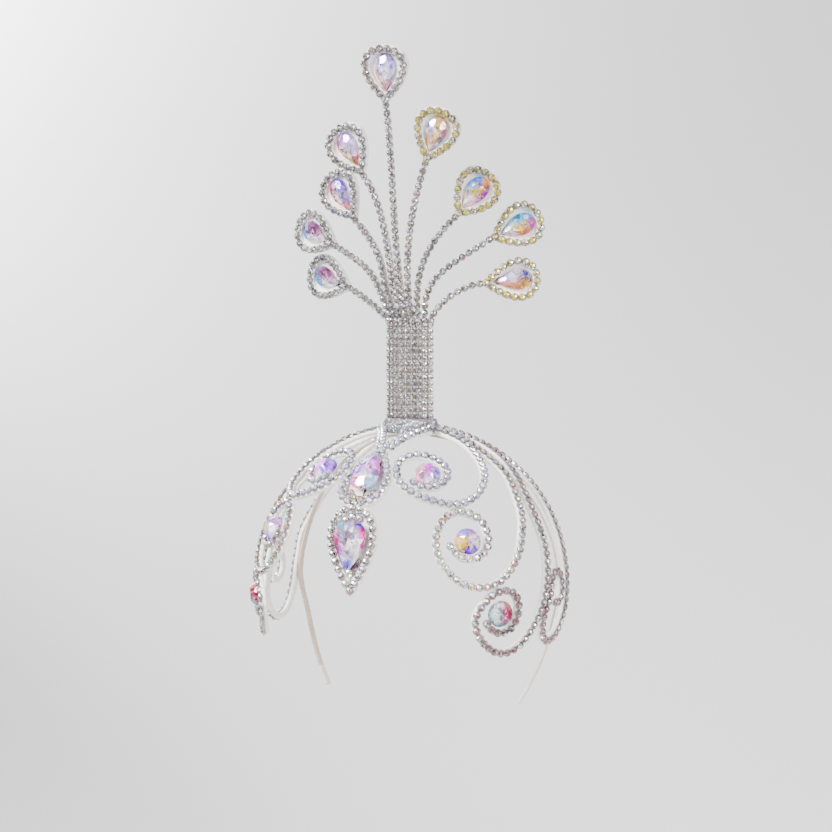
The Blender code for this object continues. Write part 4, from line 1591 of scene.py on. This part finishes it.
@dataclass
class Finial:
    """One wire of the fan with its teardrop, chain and pear stone."""

    plan: FinialPlan
    finishes: Finishes
    fine: ChainKit
    wide: ChainKit
    stone: bpy.types.Mesh
    chain_raise: float = 1.75 * MM
    corner: float = 1.1 * MM
    steps: int = 140
    inside_tip: int = 6
    turning: float = 1.5

    def axes(self, lean: float) -> tuple[Vector, Vector, Vector]:
        """(across, along, facing) of the teardrop's plane, with along at a lean from upright.

        Args:
            lean: the lean, in degrees.

        Returns:
            Three unit vectors.
        """
        yaw, pitch, lean = (math.radians(a) for a in (self.plan.yaw, self.plan.pitch, lean))
        side = Vector((math.cos(yaw), math.sin(yaw), 0))
        front = Vector((math.sin(yaw), -math.cos(yaw), 0))
        up = Vector((0, 0, 1)) * math.cos(pitch) + front * math.sin(pitch)
        along = up * math.cos(lean) + side * math.sin(lean)
        facing = side.cross(up)
        return along.cross(facing), along, facing

    def wire(self) -> Run:
        """Centre line of the wire, from its slot to inside the teardrop's tip.

        Returns:
            The line, facing forwards.
        """
        plan = self.plan
        side, forward = math.radians(plan.start_side), math.radians(plan.start_forward)
        leaving = unit_rows(np.array([math.sin(side), -math.sin(forward), 1.0]))
        arriving = np.array(self.axes(plan.wire_lean)[1])
        dip = SPRAY_WIRE / 2 * math.sqrt(1 - leaving[2] ** 2)
        start, tip = slot_place(plan.slot, STEM_TOP + GAP + dip), np.array(plan.tip) * MM
        corners = start, start + leaving * plan.start_pull * MM, tip - arriving * plan.end_pull * MM, tip
        t = np.linspace(0, 1, self.steps)[:, None]
        shares = (1 - t) ** 3, 3 * (1 - t) ** 2 * t, 3 * (1 - t) * t**2, t**3
        points = sum(share * corner for share, corner in zip(shares, corners))
        turned = (1 - t) ** self.turning
        facing = slot_facing(plan.slot) * turned + np.array(self.axes(plan.lean)[2]) * (1 - turned)
        return Run(points, unit_rows(facing))

    def build(self, seed: int) -> None:
        """Builds the wire, the teardrop, their chain and the stone.

        Args:
            seed: makes its glints its own.
        """
        plan, name = self.plan, "spray_" + self.plan.name
        across, along, facing = self.axes(plan.lean)
        tip = Vector(plan.tip) * MM
        place = placed(across, along, facing, tip - facing * FRAME_DEPTH / 2)
        tray = PearTray(plan.width * MM, plan.length * MM, FINIAL_RIM)
        wire = self.wire()
        strip = Run(*(rows[: -self.inside_tip] for rows in (wire.points, wire.facing)))
        strip = strip.evenly(WIRE_STEP, 0, 0).raised(self.chain_raise - SPRAY_WALL / 2)
        tape = swept_mesh([strip], rounded_section(SPRAY_WIRE, SPRAY_WALL, self.corner))
        both = [self.finishes.tape, self.finishes.backing]
        new_piece(name + "_teardrop", tray.model(place), both, name)
        new_piece(name + "_wire", tape, [self.finishes.tape], name)
        self.wide.lay(name + "_ring", "wrapped_tape", [tray.chain_row(ChainSize.WIDE, place)], plan.tone, seed)
        cups = wire.raised(self.chain_raise).evenly(ChainSize.FINE.pitch, *ROW_ENDS)
        self.fine.lay(name + "_row", "wrapped_tape", [cups], Tone.BLUSH, seed + 40)
        start = plan.length * MM - FINIAL_RIM - FINIAL_STONE[1] - 2 * GAP
        seat = tip + along * start + facing * (FRAME_BACKING + GAP - FRAME_DEPTH / 2)
        seat = placed(across, along, facing, seat)
        set_stone("pear_stone_" + plan.name, self.stone, seat, plan.iris, seed, self.finishes)


@dataclass
class CapScroll:
    """One scroll of the cap with its chain, and the round stone in its coil."""

    plan: ScrollPlan
    side: Side
    finishes: Finishes
    chain: ChainKit
    stone: bpy.types.Mesh
    tape_width: float = 4.0 * MM
    corner: float = 1.2 * MM
    step: float = 1.3 * MM
    coil_step: float = 15.0

    def turned(self, unit: np.ndarray) -> np.ndarray:
        """A unit sphere's point of the wearer's left, turned further from the front if this is the right side.

        Args:
            unit: the point.

        Returns:
            The point, turned or as it was.
        """
        turn = math.radians(RIGHT_SIDE_TURN) if self.side is Side.RIGHT else 0.0
        x, y, z = unit
        c, s = math.cos(turn), math.sin(turn)
        return np.array([x * c - y * s, x * s + y * c, z])

    def wire(self) -> Run:
        """Centre line of the wire.

        Returns:
            The line, facing outwards.
        """
        plan, depth = self.plan, CHAIN_HEIGHT + CAP_WIRE / 2
        centre = DOME.direction(plan.compass, plan.drop)
        turns, radii = np.array(plan.coil, float).T
        wanted = np.arange(turns[0], turns[-1] + 1, self.coil_step)
        coil = [DOME.round_centre(centre, t, r * MM) for t, r in zip(wanted, spline(turns, radii, wanted))]
        units = [DOME.direction(*row) for row in plan.limb] + coil
        points = smooth_through([DOME.place(self.turned(unit), depth) for unit in units])
        return Run(points, DOME.outward(points)).mirrored(self.side)

    def seat(self) -> Matrix:
        """Where the round stone sits.

        Returns:
            The matrix that puts it there.
        """
        unit = self.turned(DOME.direction(self.plan.compass, self.plan.drop))
        flip = np.array([self.side.value, 1, 1])
        middle = DOME.place(unit, CHAIN_HEIGHT + CAP_WIRE / 2) * flip
        normal = Vector(unit / DOME.radii * flip).normalized()
        up = (Vector((0, 0, 1)) - normal * normal.z).normalized()
        return placed(up.cross(normal), up, normal, Vector(middle))

    def build(self, seed: int) -> None:
        """Builds the tape, the chain and the stone.

        Args:
            seed: makes its glints its own.
        """
        plan, side = self.plan, self.side.name.lower()
        name, wire = f"{plan.name}_{side}", self.wire()
        strip = wire.raised((CAP_WIRE - WIRE_WALL) / 2).evenly(self.step, 0, 0)
        tape = swept_mesh([strip], rounded_section(self.tape_width, WIRE_WALL, self.corner))
        new_piece(name + "_tape", tape, [self.finishes.tape], name)
        cups = wire.raised(CAP_WIRE / 2).evenly(ChainSize.WIDE.pitch, *ROW_ENDS)
        self.chain.lay(name, "wrapped_tape", [cups], plan.tone, seed)
        if plan.iris:
            set_stone(f"{plan.name}_stone_{side}", self.stone, self.seat(), plan.iris, seed, self.finishes)


@dataclass
class FrontDrops:
    """The brow and forehead teardrops with their stones, and the two branches that carry them."""

    finishes: Finishes
    fine: ChainKit
    wide: ChainKit
    stone_sides: int = 32
    stone_back: float = 0.72
    back_edge: float = 0.84
    squeeze: float = 0.92
    tape_width: float = 3.9 * MM
    corner: float = 1.2 * MM
    front_row_lean: float = 50.0
    climb: tuple[float, float, float] = (0, -1.2 * MM, 3.0 * MM)

    def drop(self, plan: FrontPlan, seed: int) -> None:
        """Builds one teardrop with its chain and stone.

        Args:
            plan: its sizes and place.
            seed: makes its glints its own.
        """
        tip = Vector(plan.tip) * MM
        along = Vector(FRONT_MEETING) - tip
        length = along.length
        along.normalize()
        facing = Vector((1, 0, 0)).cross(along).normalized()
        facing *= -math.copysign(1, facing.y)
        across = along.cross(facing)
        sunk = CHAIN_HEIGHT + FRAME_DEPTH
        place = placed(across, along, facing, tip - facing * sunk)
        tray = PearTray(plan.width * MM, length, FRONT_RIM)
        both = [self.finishes.tape, self.finishes.backing]
        new_piece(plan.name + "_teardrop", tray.model(place), both, "front_frame")
        inner, ring = self.inner_row(tray, plan, place), tray.chain_row(ChainSize.WIDE, place)
        self.fine.lay(plan.name + "_inner_row", "wrapped_tape", [inner], Tone.PEARL, seed + 20)
        self.wide.lay(plan.name + "_ring", "wrapped_tape", [ring], Tone.LILAC if plan is BROW else Tone.BLUSH, seed)
        outline = pear(plan.stone_width * MM, plan.stone_length * MM, self.stone_sides)
        cutter = StoneCutter(outline, plan.girdle * MM, plan.stone_height * MM, back_share=self.stone_back)
        seat = tip + along * plan.stone_start * MM + facing * (FRAME_BACKING + GAP - sunk)
        seat = placed(across, along, facing, seat)
        set_stone(plan.name + "_stone", cutter.cut(), seat, plan.iris, seed, self.finishes)

    def inner_row(self, tray: PearTray, plan: FrontPlan, place: Matrix) -> Run:
        """The stones that fill the room between the ring and the pear stone.

        Args:
            tray: the teardrop's frame.
            plan: its sizes.
            place: where the frame is.

        Returns:
            The places of the cups on the tray's floor.
        """
        room = ChainSize.FINE.stone / 2 + 0.2 * MM
        line = tray.outline(tray.rim + room, 200)
        around = lengths_along(line)
        flat = spread(np.arange(0, around[-1], ChainSize.FINE.pitch), around, line)
        stone = pear(plan.stone_width * MM, plan.stone_length * MM, 120) + (0, plan.stone_start * MM)
        middle = np.array([0.0, (plan.stone_start + 0.6 * plan.stone_length) * MM])
        back = middle + (stone - middle) * self.back_edge
        clear = np.linalg.norm(flat[:, None] - back[None], axis=2).min(axis=1) > room * self.squeeze
        return laid_flat(flat[clear], TRAY_FLOOR, place)

    def branch(self, side: Side) -> Run:
        """Centre line of the wire from the brow teardrop to the foot.

        Args:
            side: the wearer's side.

        Returns:
            The line, facing outwards.
        """
        depth = CHAIN_HEIGHT + BRANCH_WIRE / 2
        points = smooth_through([DOME.over(x, y, depth) for x, y in BRANCH_POINTS])
        return Run(points, DOME.outward(points)).mirrored(side)

    def front_row(self, wire: Run) -> Run:
        """The second row of a branch, on the side that looks forwards; the left one climbs the foot.

        Args:
            wire: the branch's centre line.

        Returns:
            The places of its cups.
        """
        _, across, facing = wire.axes()
        forward = across * -np.sign(across[:, 1:2])
        climbs = wire.points[-1, 0] > 0
        rise = (lengths_along(wire.points) / wire.length()) ** 2 * climbs
        lean = math.radians(self.front_row_lean)
        looks = facing * math.cos(lean) + forward * math.sin(lean)
        points = wire.points + looks * BRANCH_WIRE / 2 + np.outer(rise, self.climb)
        return Run(points, looks).evenly(ChainSize.FINE.pitch, 3 * MM, 0.5 * MM)

    def build(self, seed: int) -> None:
        """Builds both teardrops and both branches.

        Args:
            seed: makes its glints its own.
        """
        for i, plan in enumerate((BROW, FOREHEAD)):
            self.drop(plan, seed + i)
        wires = [self.branch(side) for side in Side]
        strips = [wire.raised((BRANCH_WIRE - WIRE_WALL) / 2).evenly(WIRE_STEP, 0, 0) for wire in wires]
        tape = swept_mesh(strips, rounded_section(self.tape_width, WIRE_WALL, self.corner))
        new_piece("front_branches_tape", tape, [self.finishes.tape], "front_frame")
        rows = [wire.raised(BRANCH_WIRE / 2).evenly(ChainSize.FINE.pitch, 1 * MM, 0.5 * MM) for wire in wires]
        rows += [self.front_row(wire) for wire in wires]
        self.fine.lay("front_branches", "wrapped_tape", rows, Tone.LILAC, seed + 5)


@dataclass
class Stem:
    """Nine wires side by side with their chain."""

    finishes: Finishes
    chain: ChainKit
    wire_width: float = 3.1 * MM
    wire_depth: float = 3.7 * MM
    corner: float = 1.0 * MM
    steps: int = 40

    def build(self, seed: int) -> None:
        """Builds the wires and the chain.

        Args:
            seed: makes its glints its own.
        """
        heights = np.linspace(FOOT_HEIGHT + GAP, STEM_TOP, self.steps)
        wires = []
        for slot in range(-SLOTS_EACH_SIDE, SLOTS_EACH_SIDE + 1):
            points = np.array([slot_place(slot, z) for z in heights])
            wires.append(Run(points, np.tile(slot_facing(slot), (len(points), 1))))
        tape = swept_mesh(wires, rounded_section(self.wire_width, self.wire_depth, self.corner))
        new_piece("stem_wires", tape, [self.finishes.tape], "stem")
        raised = self.wire_depth / 2
        rows = [wire.raised(raised).evenly(ChainSize.STEM.pitch, 1.5 * MM, 0.8 * MM) for wire in wires]
        self.chain.lay("stem", "crystal_chain", rows, Tone.BLUSH, seed)


@dataclass
class Foot:
    """The oval foot under the stem, wrapped in folded glitter cloth."""

    finishes: Finishes
    sides: int = 96
    levels: int = 8
    rings: int = 3
    ring_step: float = 1.1 * MM
    folds: tuple[tuple[float, int, int], ...] = ((0.55, 7, 5), (0.3, 13, 9))
    bulge: float = 0.9
    fold_depth: float = 1.2
    tuck: float = 0.6

    def swell(self, turn: float, rise: float) -> float:
        """How far the cloth stands out, in mm, at a turn round the foot and a share of its height."""
        fold = sum(size * math.sin(round_ * turn - up * rise) for size, round_, up in self.folds)
        return (self.bulge + self.fold_depth * fold) * math.sin(math.pi * rise) - self.tuck

    def build(self) -> None:
        """Builds the foot."""
        low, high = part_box("stem_foot")
        size = high - low
        middle = Vector((low.x + size.x / 2, low.y + size.y / 2, low.z))
        bpy.ops.object.select_all(action="DESELECT")
        bpy.ops.mesh.primitive_circle_add(vertices=self.sides, radius=0.5, fill_type="NGON", location=middle)
        foot = bpy.context.active_object
        foot.scale = (size.x, size.y, 1)
        bpy.ops.object.transform_apply()
        bpy.ops.object.mode_set(mode="EDIT")
        bpy.ops.mesh.select_all(action="SELECT")
        for _ in range(self.levels):
            extrude_up(size.z / self.levels)
        for _ in range(self.rings):
            bpy.ops.mesh.inset(thickness=self.ring_step)
        bpy.ops.mesh.select_all(action="SELECT")
        bpy.ops.mesh.normals_make_consistent(inside=False)
        bpy.ops.object.mode_set(mode="OBJECT")
        for vertex in foot.data.vertices:
            x, y, z = vertex.co
            turn = math.atan2(y / size.y, x / size.x)
            outer = min(1.0, Vector((2 * x / size.x, 2 * y / size.y)).length)
            swell = self.swell(turn, (z - low.z) / size.z) * MM * outer
            vertex.co.x += swell * math.cos(turn)
            vertex.co.y += swell * math.sin(turn)
        data = take_mesh(foot)
        data.shade_smooth()
        new_piece("foot_cloth", data, [self.finishes.cloth], "stem_foot")


@dataclass
class Headband:
    """The flat taped band across under the cap, with a thread-wound end on each side."""

    finishes: Finishes
    thread_pitch: float = 1.1 * MM
    ridge: float = 0.05
    ring_step: float = 0.45 * MM
    tip_room: float = 0.2 * MM

    def line(self) -> np.ndarray:
        """Points from the middle to the end on the wearer's left."""
        points = [DOME.over(x, y, BAND_DEPTH, BAND_DEPTH) for x, y in BAND_ROWS]
        return smooth_through(points + [np.array(place) * MM for place in BAND_TAIL])

    def ridged(self, place: float) -> float:
        """Size of a wound end where the turns of thread make ridges, at a distance from its start."""
        return 1 - self.ridge + self.ridge * math.cos(2 * math.pi * place / self.thread_pitch)

    def build(self) -> None:
        """Builds the band and both wound ends."""
        half = self.line()
        whole = np.concatenate([(half * np.array([-1, 1, 1]))[:0:-1], half])
        run, ends = Run(whole, DOME.outward(whole)), BAND_END_LENGTH
        band = swept_mesh([run.evenly(2 * MM, ends, ends)], rounded_section(BAND_WIDTH, BAND_THICKNESS, 0.5 * MM, 2))
        new_piece("headband_tape", band, [self.finishes.band], "headband")
        starts = self.tip_room, run.length() - ends - self.tip_room
        wound = [run.at(np.arange(start, start + ends, self.ring_step)) for start in starts]
        section = rounded_section(BAND_END_WIDTH - 0.4 * MM, BAND_END_THICKNESS - 0.2 * MM, 0.9 * MM)
        thread = swept_mesh(wound, section, self.ridged)
        new_piece("headband_ends", thread, [self.finishes.thread], "headband")


@dataclass
class Glue:
    """The amber spot of glue where a branch meets the foot."""

    finishes: Finishes
    place: tuple[float, float, float] = (15.0, -7.4, 4.4)
    radius: float = 1.5 * MM
    stretch: tuple[float, float, float] = (1.5, 1.0, 0.6)
    cut: float = 0.4 * MM

    def build(self) -> None:
        """Builds the drop."""
        bpy.ops.object.select_all(action="DESELECT")
        bpy.ops.mesh.primitive_uv_sphere_add(segments=16, ring_count=10, radius=self.radius)
        drop = bpy.context.active_object
        bpy.ops.object.mode_set(mode="EDIT")
        bpy.ops.mesh.select_all(action="SELECT")
        bpy.ops.transform.resize(value=self.stretch)
        bpy.ops.mesh.bisect(plane_co=(0, 0, -self.cut), plane_no=(0, 0, 1), use_fill=True, clear_inner=True)
        bpy.ops.object.mode_set(mode="OBJECT")
        data = take_mesh(drop)
        data.transform(Matrix.Translation(Vector(self.place) * MM))
        data.shade_smooth()
        new_piece("glue_spot", data, [self.finishes.glue])


@dataclass(frozen=True)
class SoftLight:
    """A square soft light: its place, its side in metres, its power in watts and its spread in degrees."""

    name: str
    place: tuple[float, float, float]
    aim: tuple[float, float, float]
    size: float
    power: float
    spread: float

    def build(self) -> None:
        """Adds the light."""
        data = bpy.data.lights.new(self.name, "AREA")
        data.shape, data.size, data.energy = "SQUARE", self.size, self.power
        data.spread = math.radians(self.spread)
        light = bpy.data.objects.new(self.name, data)
        light.location = self.place
        light.rotation_euler = (Vector(self.place) - Vector(self.aim)).to_track_quat("Z", "Y").to_euler()
        bpy.context.scene.collection.objects.link(light)


@dataclass
class Studio:
    """A pale floor that sweeps up behind the headpiece, soft light, and the camera at the photograph's angle."""

    azimuth: float = 24.0
    elevation: float = 5.03
    distance: float = 1.2
    focal_px: float = 2000.0
    image_px: float = 832.0
    target: tuple[float, float, float] = (2.74, 1.22, 10.2)
    floor_z: float = -0.80
    floor_size: tuple[float, float] = (10.0, 4.8)
    floor_shift: float = -0.4
    wall_height: float = 4.0
    sweep: float = 1.1
    surroundings: Colour = (0.98, 0.97, 0.99)
    surroundings_strength: float = 0.9
    lights: tuple[SoftLight, ...] = (
        SoftLight("key", (-0.9, -1.4, 1.2), (0, 0, 0.02), 1.0, 24, 60),
        SoftLight("fill", (1.5, -1.0, 0.4), (0, 0, 0.02), 0.8, 6, 60),
        SoftLight("wall", (-2.1, 0.9, 0.7), (-1.2, 2.2, 1.2), 0.5, 140, 150),
    )

    def camera(self) -> None:
        """Adds the camera and makes it the scene's."""
        azimuth, elevation = math.radians(self.azimuth), math.radians(self.elevation)
        back = Vector(
            (math.sin(azimuth) * math.cos(elevation), -math.cos(azimuth) * math.cos(elevation), math.sin(elevation))
        )
        data = bpy.data.cameras.new("camera")
        data.sensor_width = 36.0
        data.lens = self.focal_px * data.sensor_width / self.image_px
        data.clip_start, data.clip_end = 0.05, 20.0
        camera = bpy.data.objects.new("camera", data)
        camera.location = Vector(self.target) * MM + back * self.distance
        camera.rotation_euler = back.to_track_quat("Z", "Y").to_euler()
        bpy.context.scene.collection.objects.link(camera)
        bpy.context.scene.camera = camera

    def floor(self) -> None:
        """Adds the floor, which sweeps up into a wall behind the headpiece."""
        azimuth = math.radians(self.azimuth)
        away = Vector((-math.sin(azimuth), math.cos(azimuth), 0))
        bpy.ops.object.select_all(action="DESELECT")
        bpy.ops.mesh.primitive_plane_add(size=1)
        floor = bpy.context.active_object
        floor.name = "floor"
        floor.rotation_euler.z = azimuth
        floor.scale = (*self.floor_size, 1)
        floor.location = away * self.floor_shift + Vector((0, 0, self.floor_z))
        bpy.ops.object.transform_apply()
        bpy.ops.object.mode_set(mode="EDIT")
        far = self.floor_shift + self.floor_size[1] / 2 - 0.1
        select_edges(floor, lambda middle: middle.dot(away) > far)
        extrude_up(self.wall_height)
        select_edges(floor, lambda middle: middle.dot(away) > far and middle.z < self.floor_z + 0.01)
        bpy.ops.mesh.bevel(offset=self.sweep, segments=24, affect="EDGES")
        bpy.ops.object.mode_set(mode="OBJECT")
        floor.data.shade_smooth()
        material = Finish("pale_floor", (0.94, 0.94, 0.945), 0.9).start(Specular_IOR_Level=0.1)[0]
        floor.data.materials.append(material)

    def world(self) -> None:
        """Sets the pale surroundings."""
        world = bpy.data.worlds.new("studio")
        world.use_nodes = True
        background = world.node_tree.nodes["Background"]
        background.inputs["Color"].default_value = (*self.surroundings, 1)
        background.inputs["Strength"].default_value = self.surroundings_strength
        bpy.context.scene.world = world

    def build(self) -> None:
        """Builds it all."""
        self.camera()
        self.floor()
        self.world()
        for light in self.lights:
            light.build()


def main() -> None:
    """Builds every sub-assembly."""
    logging.basicConfig(level=logging.INFO, format="%(name)s %(message)s")
    Studio().build()
    finishes = Finishes.make()
    stem, fine, wide = (ChainKit(size, finishes) for size in ChainSize)
    Stem(finishes, stem).build(1)
    Foot(finishes).build()
    pear_stone = StoneCutter(pear(*FINIAL_STONE, 24), 2.0 * MM, 5.2 * MM).cut()
    for number, plan in enumerate(FINIALS):
        Finial(plan, finishes, fine, wide, pear_stone).build(100 + number)
    angles = (np.arange(24) + 0.5) * math.pi / 12
    circle = np.stack([np.cos(angles), np.sin(angles)], axis=1) * ROUND_STONE / 2
    round_stone = StoneCutter(circle, 2.0 * MM, ROUND_STONE_HEIGHT).cut()
    for side in Side:
        for number, plan in enumerate(SCROLLS):
            CapScroll(plan, side, finishes, wide, round_stone).build(200 + 10 * number + side.value)
    FrontDrops(finishes, fine, wide).build(300)
    Headband(finishes).build()
    Glue(finishes).build()


if __name__ == "__main__":
    main()
